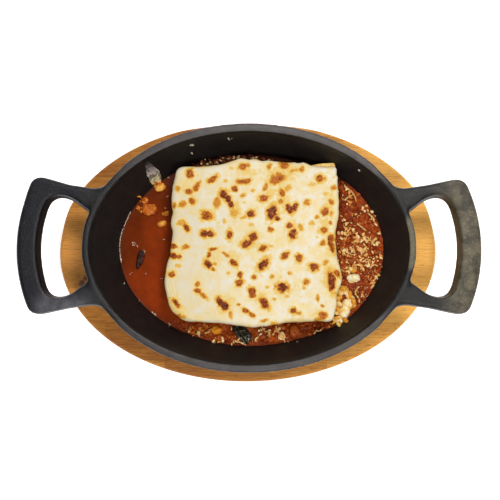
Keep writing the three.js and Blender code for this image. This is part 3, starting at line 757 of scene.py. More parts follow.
# %% Outline
MIDDLE = (2.4, 1.2)  # of the portion, in the dish's frame
TOP_Z = 46.3
AROUND = 720
turns = np.linspace(0, 2 * np.pi, AROUND, endpoint=False)
CAD_FACETS, CROWDING = 64, 0.12
cad_turns = np.arange(CAD_FACETS) * 2 * np.pi / CAD_FACETS
cad_turns = cad_turns + CROWDING * np.sin(4 * cad_turns)


def smooth_round(known, at):
    """Values known at the CAD directions, read anywhere round with a smooth curve."""
    spot = np.interp(at, np.append(cad_turns, 2 * np.pi), np.arange(CAD_FACETS + 1))
    before = np.floor(spot).astype(int)
    t = spot - before
    a, b, c, d = (known[(before + i) % CAD_FACETS] for i in (-1, 0, 1, 2))
    return b + 0.5 * t * (c - a + t * (2 * a - 5 * b + 4 * c - d + t * (3 * (b - c) + d - a)))


def corners_of(node):
    """A node's own points in the dish's frame, in millimetres, with Z up."""
    points = rows_of(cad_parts[node].data.vertices, "co")
    low = np.array(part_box(node)[0]) / MM
    if np.abs(points.min(axis=0) - low).max() > 0.5:
        points = points[:, [0, 2, 1]] * [1, -1, 1]
    return points - [0, DISH_Y, 0]


def from_portion(x, y):
    """Direction and distance of a place from the portion's middle."""
    x, y = x - MIDDLE[0], y - MIDDLE[1]
    return np.arctan2(y, x) % (2 * np.pi), np.hypot(x, y)


def all_round(node, measure):
    """measure(reach, z) of the node's points in each direction from the portion's middle."""
    points = corners_of(node)
    angle, reach = from_portion(points[:, 0], points[:, 1])
    narrow, middle_hub = 0.012, 5  # radians, and millimetres
    found = []
    for turn in cad_turns:
        apart = np.abs((angle - turn + np.pi) % (2 * np.pi) - np.pi)
        near = (apart < narrow) & (reach > middle_hub)
        found.append(measure(reach[near], points[near, 2]))
    return smooth_round(np.array(found), turns)


def reach_of(node):
    return all_round(node, lambda reach, z: reach.max())


crust_reach = reach_of("gratin_top")
hem_low = all_round("gratin_top", lambda reach, z: z.min())
print("reach of the crust", crust_reach.min().round(1), "to", crust_reach.max().round(1), "mm")

# %% Sagging and corners
def sag(x, y):
    """Gentle rise and fall that all the layers share, as in the CAD model."""
    wave = 0.5 * np.sin(x / 17 + 0.6) * np.cos(y / 15 - 0.4)
    return wave + 0.35 * np.sin((x + 2 * y) / 23)


def from_middle(reach, z=0.0):
    """Level points at a distance from the portion's middle."""
    return spatial(MIDDLE[0] + reach * np.cos(turns), MIDDLE[1] + reach * np.sin(turns), z)


def laid(reach, z):
    """The same, sunk and lifted with the layers."""
    points = from_middle(reach, z)
    return points + spatial(0, 0, sag(points[:, 0], points[:, 1]))


# The far right corner, where the pasta looks out: pixels along the edges of the crust and the pasta.
CRUST_CORNER = [
    (297, 162.8), (300, 162.7), (303.5, 162.1), (307, 163.5), (311, 165.5), (315, 166.4), (320, 166.9),
    (325, 167.1), (330, 167), (334.6, 167), (336.2, 168.2), (336.7, 170), (336.6, 175),
]
PASTA_CORNER = [
    (310, 165.8), (314, 165), (320, 163.9), (326.5, 163.4), (334, 162.9), (334.8, 164), (335.4, 168),
]


def drawn_through(reach, pixels, height):
    """The reach of an edge, led through the pixels where the photo shows it."""
    direction, shown = from_portion(*seen_at(*np.array(pixels, float).T, height))
    order = np.argsort(direction)
    direction, shown = direction[order], shown[order]
    first, last, soft = direction[0], direction[-1], 0.05
    here = ease(turns, first - soft, first) * (1 - ease(turns, last, last + soft))
    return reach + here * (np.interp(turns, direction, shown) - reach)


print("layers rise and fall by", round(float(np.ptp(laid(crust_reach, 0)[:, 2])), 1), "mm along the edge")

# %% [markdown]
# ## Pasta sheets and meat filling
#
# Under the cheese lie pasta, meat, pasta and meat. They show only as edges at the sides, so a block
# cut into slices would do from above. Here each is a slab of its own with a lively edge: pasta with a
# thin rounded edge that waves a little, and meat with lumps.

# %% Layers
GRATIN = {"thickness": 3.8, "hem": 2.4, "soft_edge": 4.5}
PASTA, UPPER_MEAT, GAP = 1.8, 4.5, 0.3
UPPER_PASTA_TOP = TOP_Z - GRATIN["thickness"] - GAP
UPPER_MEAT_TOP = UPPER_PASTA_TOP - PASTA - GAP
LOWER_PASTA_TOP = UPPER_MEAT_TOP - UPPER_MEAT - GAP
LOWER_MEAT_TOP = LOWER_PASTA_TOP - PASTA - GAP
LOWER_MEAT = LOWER_MEAT_TOP - FLOOR_Z - GAP
OUTWARD = spatial(np.cos(turns), np.sin(turns))

# Each layer: piece, node, the record's finish, top, thickness, lumps, waves and seed.
LAYERS = [
    ("pasta_sheet_upper", "upper_pasta_sheet", "pasta", UPPER_PASTA_TOP, PASTA, 0, 0.25, 1),
    ("pasta_sheet_lower", "lower_pasta_sheet", "pasta", LOWER_PASTA_TOP, PASTA, 0, 0.5, 1),
    ("meat_layer_upper", "upper_filling", "meat_filling", UPPER_MEAT_TOP, UPPER_MEAT, 1.1, 0, 4),
    ("meat_layer_lower", "lower_filling", "meat_filling", LOWER_MEAT_TOP, LOWER_MEAT, 0.9, 0, 9),
]


def slab(name, reach, high, thickness, lumps, wave, seed):
    """A flat layer with a rounded, lumpy or waving edge."""
    low, half = high - thickness, thickness / 2
    rings = [laid(reach * part, low) for part in (0.1, 0.5, 0.85)]
    for angle in np.linspace(-np.pi / 2, np.pi / 2, 9):
        ring = laid(reach - 0.8 * half * (1 - math.cos(angle)), low + half * (1 + math.sin(angle)))
        push = lumps * (rough(ring, 4.5, seed) - 0.4) + wave * noise(ring * [1, 1, 0], 9, seed)
        rings.append(ring + OUTWARD * push[:, None])
    rings += [laid(reach * part, high) for part in (0.85, 0.5, 0.1)]
    return ringed(name, rings)


layers, layer_reach = [], {}
for name, node, slot, high, thickness, *edge in LAYERS:
    layer_reach[node] = reach_of(node)
    if node == "upper_pasta_sheet":
        layer_reach[node] = drawn_through(layer_reach[node], PASTA_CORNER, high - thickness / 2)
    layers.append(stands_for(slab(name, layer_reach[node], high, thickness, *edge), slot, node))

# %% Pasta and filling finishes
def boiled_pasta():
    pasta = Finish("boiled_pasta", Roughness=0.38, Subsurface_Weight=0.1, Subsurface_Scale=0.002)
    colour = pasta.coats(
        paint(204, 160, 58),
        (pasta.noise(1.6, 2).step(0.35, 0.7), 224, 194, 92),
        (pasta.noise(5, 3).step(0.45, 0.75) * 0.6, 186, 116, 36),
    )
    pasta.feed(Base_Color=colour)
    pasta.feed(Normal=pasta.bump(pasta.noise(1.2, 2), 0.15, 0.5))
    return pasta


def cooked_mince():
    mince = Finish("cooked_mince", Subsurface_Weight=0.05, Subsurface_Scale=0.001)
    grain = mince.noise(1.7, 3, 0.6)
    shade = 0.6 * grain + 0.4 * (1 - mince.cells(3.4))
    colour = mince.ramp(shade, (0.25, 44, 14, 5), (0.5, 104, 42, 16), (0.75, 156, 78, 34))
    mince.feed(Base_Color=colour, Roughness=0.3 + 0.35 * grain)
    mince.feed(Normal=mince.bump(shade, 0.9, 0.9))
    return mince


boiled_pasta().put_on(*layers[:2])
cooked_mince().put_on(*layers[2:])

# %% [markdown]
# ## The browned top
#
# White sauce and cheese cover the portion and hang over its sides as a hem. Under the grill the
# cheese blisters: each blister browns from golden to dark in its middle. The spots are placed where
# the photo shows them, because their pattern is what one remembers of this dish. Each is a real
# bump in the mesh and also leaves a number on the mesh's points, from 0 for cream to 1 for burnt,
# which the material turns into colour.

# %% Browned spots
# Each spot: pixel across and down in the photo, length, width, turn in degrees, and how brown it is.
BROWN_SPOTS = [
    # far left part of the top
    (190, 174, 6.5, 5, 80, 0.8), (213, 179, 8, 3.8, 35, 0.75), (225.5, 180.5, 3.4, 2.6, 0, 0.3),
    (244, 166, 7, 4.6, 10, 0.68), (231, 168, 6, 3.6, -30, 0.2), (244, 181, 9.5, 4.2, 8, 0.72),
    (235, 188.5, 4.4, 4, 60, 0.82), (178, 189, 4, 4, 0, 0.45), (189, 191.5, 5, 4, -15, 0.68),
    (196.5, 186.5, 7, 4.4, 62, 0.66), (192.5, 201.5, 5, 4.6, 0, 0.72), (182.5, 204, 6, 4.2, 35, 0.48),
    (174.5, 205.5, 3.8, 2.4, 80, 0.66), (223.5, 194, 6.6, 5.6, -35, 1), (227.5, 198, 6, 4.6, -45, 1),
    (231, 204, 6.4, 3.6, -68, 0.92), (217, 202.5, 8, 5, 75, 0.46), (206.5, 215, 8.2, 6, -10, 0.82),
    (234, 213, 8.5, 5.6, -70, 0.34), (250.5, 213.5, 5.8, 4.8, 20, 0.86), (244, 217, 4.6, 2.8, 20, 0.42),
    (243, 195, 4, 2.6, 30, 0.42), (244, 202.5, 3, 2.6, 0, 0.2), (224.5, 221, 3.4, 2.4, 90, 0.3),
    (186, 227, 6.6, 3.8, -62, 0.86), (180.5, 222, 6.4, 3.4, 25, 0.38), (204, 233.5, 5.6, 5.2, 0, 0.95),
    (210, 233.5, 5.4, 5, 10, 0.92), (229.5, 234.5, 6.4, 4, 85, 0.82), (253, 190.5, 3.4, 2.4, 0, 0.32),
    # far right part
    (284, 165, 6.6, 5.2, 0, 0.66), (269.5, 166, 4.4, 3.4, 60, 0.5), (294, 170, 5.4, 2.4, 10, 0.42),
    (301.5, 169, 4.6, 3.6, 60, 0.54), (277, 178, 11.5, 7.5, 12, 0.62), (279.5, 178, 4.6, 3.6, 0, 0.74),
    (320, 178.5, 5.8, 5.6, 0, 0.74), (312, 184, 6, 3, 10, 0.24), (265.5, 187, 5.6, 3.6, 70, 0.5),
    (264, 198, 7, 4.4, 10, 0.76), (333.5, 187.5, 3.8, 3.4, 0, 0.46), (282.5, 192.5, 5.8, 3.8, -70, 0.68),
    (281, 201.5, 4.6, 3.4, 80, 0.54), (288, 187, 6, 4.6, 45, 0.34), (307, 202, 4.6, 4, 40, 0.5),
    (331.5, 201.5, 4.6, 3.4, -60, 0.58), (326, 193.5, 3.4, 2.4, 0, 0.24), (289.5, 208.5, 7, 4.6, -62, 0.94),
    (295, 206.5, 6, 3.8, 75, 0.98), (272.5, 212, 9.6, 6.6, 82, 1), (277, 218.5, 4.6, 3.2, -30, 0.88),
    (325.5, 211.5, 6, 5.2, 70, 0.76), (331.5, 213, 6, 2.6, 88, 0.4), (317.5, 216.5, 3.2, 3, 0, 0.42),
    (251.5, 225, 3.6, 3, 0, 0.26), (312, 223, 4, 3.4, 0, 0.32), (290, 225.5, 5, 3.6, -10, 0.8),
    (292.5, 234, 6.6, 5.2, 70, 0.97), (300.5, 227.5, 5.4, 3.4, -62, 0.38), (270.5, 229.5, 4, 3.6, 0, 0.62),
    (324, 230, 5.8, 5.2, 30, 0.7), (330.5, 222.5, 3, 2.2, 80, 0.56),
    # near left part
    (173, 246, 6, 3.6, -10, 0.76), (185, 247, 6, 3.4, 10, 0.52), (173, 256, 6, 4, -20, 0.86),
    (178.5, 257, 3.6, 3, 0, 0.76), (178, 266, 4, 2.4, 0, 0.3), (171.5, 274.5, 4.8, 4.4, 60, 0.76),
    (246.5, 243.5, 7.4, 5.4, 25, 0.92), (252.5, 237, 6.4, 5.6, 60, 0.9), (207.5, 263.5, 6.6, 4.6, -50, 1),
    (208.5, 255, 5.4, 2.8, 68, 0.74), (213, 249, 6.4, 2.4, 15, 0.72), (213.5, 269, 3.6, 2.4, -50, 0.62),
    (214.5, 264, 3, 2.4, 0, 0.44), (233.5, 262.5, 6.6, 3.8, -42, 0.84), (226, 254.5, 7, 2.4, -38, 0.52),
    (240, 275, 4.2, 3.2, 80, 0.8), (239.5, 282.5, 5.2, 4.2, 20, 0.76), (228.5, 273, 2.6, 2, 0, 0.3),
    (197.5, 284, 3.6, 3, 90, 0.56), (197.5, 291, 4.4, 3.4, 0, 0.76), (204, 296, 6.4, 3.2, -42, 0.56),
    (221, 302.5, 7.4, 4.6, -62, 0.95), (224.5, 306.5, 6.4, 4.6, -50, 1), (230, 314, 6.4, 2.8, -65, 0.42),
    (176, 303, 7, 3.2, -55, 0.84), (179, 316, 5.4, 2.6, -10, 0.56), (184, 317, 4, 3, 0, 0.4),
    (238, 304.5, 3, 2, 0, 0.5), (245.5, 310.5, 4.4, 3.4, -35, 0.82), (251.5, 314.5, 5, 2.8, -30, 0.68),
    # near right part
    (263.5, 248, 5.6, 4, 25, 0.8), (271.5, 246, 2.6, 2, 0, 0.3), (285, 255.5, 6.6, 3.8, 50, 0.76),
    (299, 258, 5.2, 4.8, 90, 0.78), (263.5, 264, 9.4, 5.4, 45, 0.97), (313.5, 267, 6.2, 5.2, -15, 0.84),
    (326, 262, 4.6, 3.8, 60, 0.42), (331.5, 246, 9.4, 3.8, -72, 0.88), (331, 238, 5.6, 5, 90, 0.86),
    (323, 243, 4.6, 3.8, 60, 0.6), (331.5, 281.5, 13.5, 5.4, -84, 1), (337.5, 273.5, 5.4, 3.4, -60, 0.7),
    (253.5, 277, 3.8, 3.4, 0, 0.66), (272, 276.5, 3.6, 3.2, 0, 0.42), (289.5, 273, 3.2, 2.4, 0, 0.38),
    (306.5, 282, 4.4, 4, 0, 0.62), (304, 288, 3, 2.4, 0, 0.38), (282, 287.5, 7.6, 6.4, 0, 0.98),
    (267.5, 287, 3.4, 2, 0, 0.3), (252, 291, 5.6, 4.6, -60, 0.85), (253, 295.5, 4.4, 3, 0, 0.8),
    (264.5, 303, 8.4, 5, -55, 0.94), (293.5, 311, 5.4, 4, -30, 0.86), (299, 313, 3.6, 2.6, -10, 0.5),
    (318, 298, 5, 2.2, 88, 0.6), (322.5, 306, 2.6, 1.8, -20, 0.56), (323, 315.5, 5.6, 4.8, 20, 0.7),
    (317, 319, 4, 2.4, 30, 0.46), (274.5, 299, 2.6, 2.2, 0, 0.3), (287, 296.5, 3.4, 2.4, 0, 0.26),
    (264, 320.5, 5.4, 1.8, 12, 0.55), (274.5, 323.5, 6, 2.8, 0, 0.34),
]

# Wide patches that only turned golden.
GOLDEN_PATCHES = [
    (281, 176, 26, 18, 10, 0.2), (270, 192, 12, 16, 0, 0.16), (284, 200, 10, 24, 12, 0.18),
    (236, 208, 7, 20, 20, 0.2), (291, 230, 14, 20, 0, 0.14), (214, 256, 16, 20, 0, 0.12),
    (232, 256, 16, 10, -35, 0.13), (176, 306, 14, 24, 35, 0.16), (330, 205, 10, 24, 0, 0.16),
    (330, 248, 10, 24, 0, 0.15), (330, 276, 14, 26, 0, 0.2), (300, 322, 34, 6, 0, 0.13),
    (226, 306, 14, 20, -35, 0.17), (252, 240, 18, 20, 40, 0.15), (248, 172, 22, 10, 0, 0.14),
    (186, 186, 18, 18, 0, 0.12), (325, 224, 12, 16, 0, 0.15), (262, 300, 18, 14, -40, 0.15),
    (176, 252, 16, 16, 0, 0.13), (200, 288, 10, 18, 30, 0.13), (284, 288, 18, 16, 0, 0.14),
    (252, 212, 16, 10, 20, 0.12), (320, 316, 16, 12, 0, 0.16), (294, 168, 20, 8, 0, 0.14),
]

print(len(BROWN_SPOTS), "browned spots and", len(GOLDEN_PATCHES), "golden patches")


# %% Browning
def browning(points):
    """How brown each point is, and how much of a blister: the strongest of all spots there."""
    x, y = points[..., 0], points[..., 1]
    brown, blister = np.zeros(x.shape), np.zeros(x.shape)
    uneven = 0.3 * rough(points * [1, 1, 0], 2.0, 31)
    for px, py, length, width, turn, strength in BROWN_SPOTS + GOLDEN_PATCHES:
        at_x, at_y = seen_at(px, py, TOP_Z + 0.3)
        near = (np.abs(x - at_x) < 1.4 * length) & (np.abs(y - at_y) < 1.4 * length)
        if not near.any():
            continue
        u, v = x[near] - at_x, y[near] - at_y
        a = math.radians(turn)
        along, across = u * math.cos(a) + v * math.sin(a), v * math.cos(a) - u * math.sin(a)
        away = np.hypot(along / (length / 2), across / (width / 2)) + uneven[near]
        spot = strength > 0.2  # and not a patch that only turned golden
        core = strength * (1 - ease(away, 0.65 if spot else 0.2, 1.35))
        halo = 0.3 * strength * (1 - ease(away, 1.0, 2.1))
        brown[near] = np.maximum(brown[near], np.maximum(core, halo))
        if spot:
            blister[near] = np.maximum(blister[near], strength * (1 - ease(away, 0.3, 1.3)))
    return brown, blister


print("brown at three places:", browning(spatial([-30, 0, 30], 0, TOP_Z))[0].round(2))

# %% Shape of the browned top
# Small dents and bulges of the edge: direction and half width in degrees, and change in millimetres.
EDGE_DENTS = [
    (20, 5, 0.8), (68, 4, -0.5), (80, 3, 0.8), (88, 3, 1.4), (97, 4, 1.2), (112, 8, -1.6), (134, 3, 1.2),
    (157, 5, -1.5), (172, 6, -1.4), (186, 4, -0.9), (209, 8, -1.6), (224, 4, -1.1), (228, 4, 0.8),
    (256, 4, 0.5), (270, 9, 0.9), (316, 3, 1.0), (340, 4, 0.6),
]


def dented(reach):
    """The reach of the edge with its small dents and bulges."""
    for direction, width, change in EDGE_DENTS:
        apart = (np.degrees(turns) - direction + 180) % 360 - 180
        reach = reach + change * ridge(apart, width)
    return reach


def top_section():
    """For each ring of the top, inwards: inset from the edge, share of what is left, and drop."""
    soft = GRATIN["soft_edge"]
    angles = np.linspace(1, 0.12, 9) * np.pi / 2
    shoulder = [(soft * (1 - math.sin(angle)), 1, 0.3 + 2.6 * (1 - math.cos(angle))) for angle in angles]
    return shoulder + [(soft, share, 0.3) for share in np.linspace(1, 0.02, 100)]


def folds(points, strength):
    """Soft folds of the cheese where it hangs over the side."""
    return strength * (noise(points * [1, 1, 0.3], 9, 5) + 0.5 * noise(points * [1, 1, 0.4], 4, 6))


def creases(points, inland):
    """Creases that follow the edge, deepest at the near left corner, where the cheese slid down."""
    direction = np.degrees(turns)[None]
    slid = ridge(direction - 222, 20) + 0.35 * ridge(direction - 330, 22)
    bent = inland + 1.1 * noise(points * [1, 1, 0], 7, 91)
    lines = sum(ridge(bent - at, 0.4) for at in (2.4, 4.3, 6.4))
    return slid * lines * ease(noise(points * [1, 1, 0], 6, 93), -0.5, 0.3)


def top_rings():
    """The rings of the top, how much each is folded, and how far inland it lies on the surface."""
    reach_out = drawn_through(dented(crust_reach), CRUST_CORNER, TOP_Z - 2)
    edge = from_middle(reach_out)
    hem, thickness = GRATIN["hem"], GRATIN["thickness"]
    hem_drop = TOP_Z + sag(edge[:, 0], edge[:, 1]) - hem_low
    rings = [laid((reach_out - hem - 0.3) * part, TOP_Z - thickness) for part in (0.05, 0.4, 0.75, 1)]
    rings += [laid(reach_out - hem, TOP_Z - thickness - part * (hem_drop - thickness)) for part in (0.5, 1)]
    for angle in np.linspace(-0.7, 1, 6) * np.pi / 2:
        inset = 0.45 * hem * (1 - math.sin(angle))
        rings.append(laid(reach_out - inset, TOP_Z - hem_drop - 0.99 * math.cos(angle)))
    for part in np.linspace(0.12, 0.9, 8):
        rings.append(laid(reach_out - 0.4 * part, TOP_Z - hem_drop - part * (2.9 - hem_drop)))
    folded = [0] * 6 + [0.6] * 6 + [1] * 8
    inland = [np.zeros(AROUND)] * len(rings)
    for inset, share, drop in top_section():
        reach = (reach_out - inset) * share
        rings.append(laid(reach, TOP_Z - drop))
        folded.append(float(ease(share, 0.8, 1)))
        inland.append(reach_out - reach)
    return np.array(rings), np.array(folded), np.array(inland)


def browned_top():
    rings, folded, inland = top_rings()
    on_top = (np.arange(len(rings)) >= len(rings) - len(top_section())).astype(float)[:, None]
    cut_corner = ease(turns, 0.6, 0.7) * (1 - ease(turns, 1.05, 1.15))
    push = folded[:, None] * folds(rings, 0.75) * (1 - 0.8 * cut_corner)
    rings = rings + OUTWARD * push[..., None]
    brown, blister = browning(rings)
    # The creases are dented in, and also painted browner, as painted shade in the creases.
    crease_and_painted_shade = creases(rings, inland) * on_top
    tan = 0.16 * np.exp(-inland / 2.2) * ease(noise(rings, 5, 71), -0.5, 0.6) * on_top
    swell = 0.28 * noise(rings, 11, 3) + 0.16 * noise(rings, 5, 8) + 0.05 * noise(rings, 1.8, 12)
    pits, crackle = 0.45 * ease(brown, 0.55, 1.0), 0.14 * brown * noise(rings, 0.9, 21)
    rings[..., 2] += on_top * (swell + 0.7 * blister - pits + crackle) - 0.8 * crease_and_painted_shade
    hem_shade = (1 - on_top) * (0.08 + 0.3 * ease(noise(rings, 6, 77), -0.1, 0.6))
    brown = np.maximum(brown * np.maximum(on_top, 0.8), hem_shade)
    return ringed("browned_cheese_top", rings, {"brown": np.maximum(brown, tan + 0.2 * crease_and_painted_shade)})


crust = stands_for(browned_top(), "browned_cheese", "gratin_top")

# %% [markdown]
# The colour runs through one ramp, from cream through golden and orange-brown to dark brown. Fine
# noise is added to the number before the ramp, so the edges of the spots look grilled and not drawn.

# %% Browned top finish
def grilled_cheese():
    skin = {"Subsurface_Weight": 0.06, "Subsurface_Radius": (1, 0.6, 0.3), "Subsurface_Scale": 0.002}
    cheese = Finish("grilled_cheese", **skin, Specular_IOR_Level=0.15)
    brown, wide = cheese.number("brown"), cheese.noise(9, 3, 0.6)
    fine, freckle = cheese.noise(1.7, 4, 0.75) - 0.5, cheese.noise(0.9, 2, 0.6) - 0.5
    tint = cheese.noise(5, 3, 0.6).step(0.54, 0.8) * 0.16
    heat = (brown * (0.8 + 1.3 * fine + 1.0 * freckle) + 0.08 * fine).most(tint)
    white = cheese.coats(
        cheese.mix(wide.step(0.4, 0.62), paint(228, 221, 204), paint(230, 209, 160)),
        (cheese.noise(2.6, 2, 0.6).step(0.5, 0.68) * 0.6, 236, 213, 146),
        (cheese.noise(3.4, 2, 0.6).step(0.52, 0.7) * 0.7, 227, 224, 216),
        # Painted shade: the white is painted darker towards the left, away from the lamps.
        (0.6 * (1 - cheese.along("X").step(-60, 12)), 208, 196, 168),
    )
    baked = cheese.ramp(
        heat, (0.06, 226, 206, 150), (0.16, 224, 186, 94), (0.28, 213, 156, 56), (0.4, 196, 126, 38),
        (0.52, 180, 98, 24), (0.64, 152, 74, 18), (0.76, 118, 50, 16), (0.88, 84, 34, 14), (1, 56, 22, 12),
    )
    colour = cheese.mix(heat.step(0.0, 0.1), white, baked)
    cheese.feed(Base_Color=colour, Roughness=0.5 - 0.15 * brown + 0.1 * wide)
    relief = 0.4 * fine + 0.5 * cheese.noise(2.4, 2) + 0.5 * freckle * brown
    cheese.feed(Normal=cheese.bump(relief, 0.35, 0.6))
    return cheese


grilled_cheese().put_on(crust)

# %% [markdown]
# ## The meat sauce
#
# The sauce fills the dish round the portion. On the left it is thin and oily, on the right it is
# thick with mince. A fluid simulation would take long and be hard to steer. This is a closed ring
# with a finely modelled surface: a strip of it runs from the portion to the wall of the dish, and
# small hills make the lumps that lie just under the surface.

# %% Sauce height
SAUCE_Z = 28.3


def sauce_height(x, y):
    mound = 4.5 * ease(x, 42, 70)
    near_right = 1.6 * ridge(x - 66, 16) * ridge(y + 46, 14)
    strips = 1.2 * ease(np.abs(y), 50, 60) * ease(x, -40, 0)
    return SAUCE_Z + mound + near_right + strips


def meatiness(x, y):
    """0 where the sauce is thin and oily, 1 where it is thick with mince."""
    right = ease(x, 40, 66)
    near = ease(-y, 44, 54) * ease(x, -62, -44)
    return np.clip(np.maximum(right, near), 0, 1)


def baked(x, y):
    """1 along the far wall, where the sauce has dried nearly black."""
    return ease(y, 44, 49) * ease(x, -66, -50) * (1 - ease(x, 72, 80))


def wall_reach(direction, z):
    """Distance from the portion's middle to the inside of the dish, at a height."""
    length = wall_length(INSIDE, RIM_Z - z)
    width = wall_width(INSIDE, length)
    c, s = np.cos(direction), np.sin(direction)
    a = (c / length) ** 2 + (s / width) ** 2
    b = MIDDLE[0] * c / length**2 + MIDDLE[1] * s / width**2
    rest = (MIDDLE[0] / length) ** 2 + (MIDDLE[1] / width) ** 2 - 1
    return (np.sqrt(b * b - a * rest) - b) / a


print("sauce stands at", SAUCE_Z, "mm on the left and", round(float(sauce_height(80, 0)), 1), "on the right")


# %% Sauce shape
def sauce_surface(x, y, inland=1.0):
    """Height of the sauce with its lumps and waves, which fade out at the wall, where inland is 0."""
    meat, at = meatiness(x, y), spatial(x, y)
    lumps = 0.9 * rough(at, 5.5, 41) + 0.5 * rough(at, 2.4, 47)
    calm = 0.2 * noise(at, 13, 51) + 0.08 * noise(at, 4, 53)
    return sauce_height(x, y) + inland * (meat * lumps + (1 - meat) * calm)


def meat_sauce():
    inner = layer_reach["lower_filling"] + GAP
    shore = wall_reach(turns, np.full(AROUND, SAUCE_Z)) - GAP
    for _ in range(3):
        shore = wall_reach(turns, sauce_height(*from_middle(shore).T[:2])) - GAP
    wall_levels = np.linspace(FLOOR_Z + GAP, SAUCE_Z - 1, 9)
    at_wall = [wall_reach(turns, np.full(AROUND, level)) - GAP for level in wall_levels]
    rings = [from_middle(reach, FLOOR_Z + GAP) for reach in (inner, (inner + at_wall[0]) / 2)]
    rings += [from_middle(np.maximum(reach, inner + 0.4), z) for reach, z in zip(at_wall, wall_levels)]
    for share in np.linspace(0, 1, 64):
        reach = shore + (inner - shore) * share
        x, y, _ = from_middle(reach).T
        climb = 0.25 * ridge(shore - reach, 0.8) * (1 - meatiness(x, y))
        rings.append(spatial(x, y, sauce_surface(x, y, ease(shore - reach, 0, 2.5)) + climb))
    rings = np.array(rings)
    x, y = rings[..., 0], rings[..., 1]
    meat = meatiness(x, y)
    lift = np.clip((rings[..., 2] - sauce_height(x, y)) / 1.5, -1, 1)
    from_shore = np.abs(from_portion(x, y)[1] - shore)
    # Painted shade: the sauce is painted darker near the shore, in the wall's shade, and the baked number
    # carries it with the far wall's dark.
    painted_shore_shade = 0.7 * np.exp(-from_shore / 2.2) * np.maximum(1 - meat, ease(-y, 40, 54))
    values = {"meat": meat, "lift": lift, "baked": np.maximum(baked(x, y), painted_shore_shade)}
    return ringed("meat_sauce", rings, values, joined=True)


sauce = stands_for(meat_sauce(), "meat_sauce", "bolognese_sauce")

# %% [markdown]
# The sauce's colour comes from two ramps: orange-brown oil on the left, and red-brown mince on the
# right. Numbers on the mesh's points say where it is thick, where a lump rises, where it dried dark
# against the far wall, and where painted shade darkens it along the shore. Beside the portion the oil
# is painted brighter, as painted light. One colour with noise would lose that change from side to side.

# %% Sauce finish
def oily_sauce():
    skin = {"Subsurface_Weight": 0.08, "Subsurface_Radius": (1, 0.25, 0.08), "Subsurface_Scale": 0.002}
    sauce = Finish("oily_sauce", **skin, Specular_IOR_Level=0.1)
    meat, lift, baked = (sauce.number(name) for name in ("meat", "lift", "baked"))
    cloud, grain = sauce.noise(14, 3, 0.55), sauce.noise(1.5, 3, 0.6)
    x, y = sauce.along("X"), sauce.along("Y")
    # Painted light: the oil beside the portion is painted brighter, against the portion's shadow.
    painted_light_beside_portion = x.step(-82, -68) * y.step(-24, -8) * (1 - y.step(16, 34))
    oil_tone_and_painted_light = 0.4 * cloud + 0.2 * sauce.noise(4, 2) + 0.3 * (1 - y.step(-26, -6)) + 0.22 * painted_light_beside_portion
    stops = (0.15, 84, 32, 8), (0.42, 114, 43, 12), (0.62, 138, 51, 15), (0.85, 152, 64, 18)
    oil = sauce.ramp(oil_tone_and_painted_light, *stops)
    shade = 0.55 * grain + 0.25 * cloud + 0.1 + 0.1 * lift - 0.05 * y.step(0, 20)
    # Painted light: the mince is painted a little brighter at the near side.
    shade = shade + 0.015 * (1 - y.step(-55, -46))
    mince = sauce.ramp(shade, (0.3, 62, 20, 5), (0.48, 132, 46, 8), (0.64, 182, 84, 18))
    # The baked number darkens the sauce along the far wall, and adds painted shade along the shore.
    colour = sauce.coats(sauce.mix(meat, oil, mince), (baked, 62, 26, 10))
    sauce.feed(Base_Color=colour, Roughness=0.12 + 0.12 * meat * grain + 0.55 * baked)
    wet = sauce.bump(sauce.noise(6, 1), 0.3, 0.4)
    sauce.feed(Normal=sauce.bump(grain * (0.15 + 0.85 * meat), 0.7, 0.7, over=wet))
    return sauce


oily_sauce().put_on(sauce)

# %% [markdown]
# ## Pieces that lie in the sauce
#
# Carrot, browned meat and melted cheese are simple solids in the CAD model. They could be sculpted
# by hand. Here each is copied, remeshed finely and softened, and then noise pushes its skin in and
# out. So every piece keeps its place and form, and gets the dents of real food.

# %% Detailed copies
def detailed(name, slot, node, cell, dents, size, seed=0, rounds=3, grow=0.0):
    """A fine copy of a CAD solid: cell is the mesh size, dents their depth, and size their width."""
    faces = [list(polygon.vertices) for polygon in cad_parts[node].data.polygons]
    piece = new_piece(name, corners_of(node), faces)
    remeshed(piece, cell, rounds)
    vertices = piece.data.vertices
    points, normals = rows_of(vertices, "co"), rows_of(vertices, "normal")
    points += normals * (grow + dents * (rough(points, size, seed) - 0.15))[:, None]
    vertices.foreach_set("co", (points * MM).ravel())
    piece.data.update()
    return stands_for(piece, slot, node)


carrots = [
    detailed(f"carrot_{i}", "carrot", f"carrot_piece_{i}", 0.3, 0.35, 2.6, seed=i, grow=0.8 * (i == 5))
    for i in range(1, 6)
]
browned_meat = detailed("browned_meat", "browned_meat", "browned_meat_piece", 0.3, 0.3, 2.2, seed=11)
cheese_lumps = [
    detailed(f"soft_cheese_{i}", "melted_cheese", f"cheese_lump_{i}", 0.3, 0.6, 2.4, seed=20 + i, grow=0.8)
    for i in (1, 2)
]
melted = detailed("melted_cheese_mass", "melted_cheese", "melted_cheese", 0.4, 0.5, 3.6, seed=31, rounds=8)

# %% [markdown]
# All these pieces are moist, so they share one way to make a finish: three paints in soft patches
# under a shiny skin, which lets a little light through.

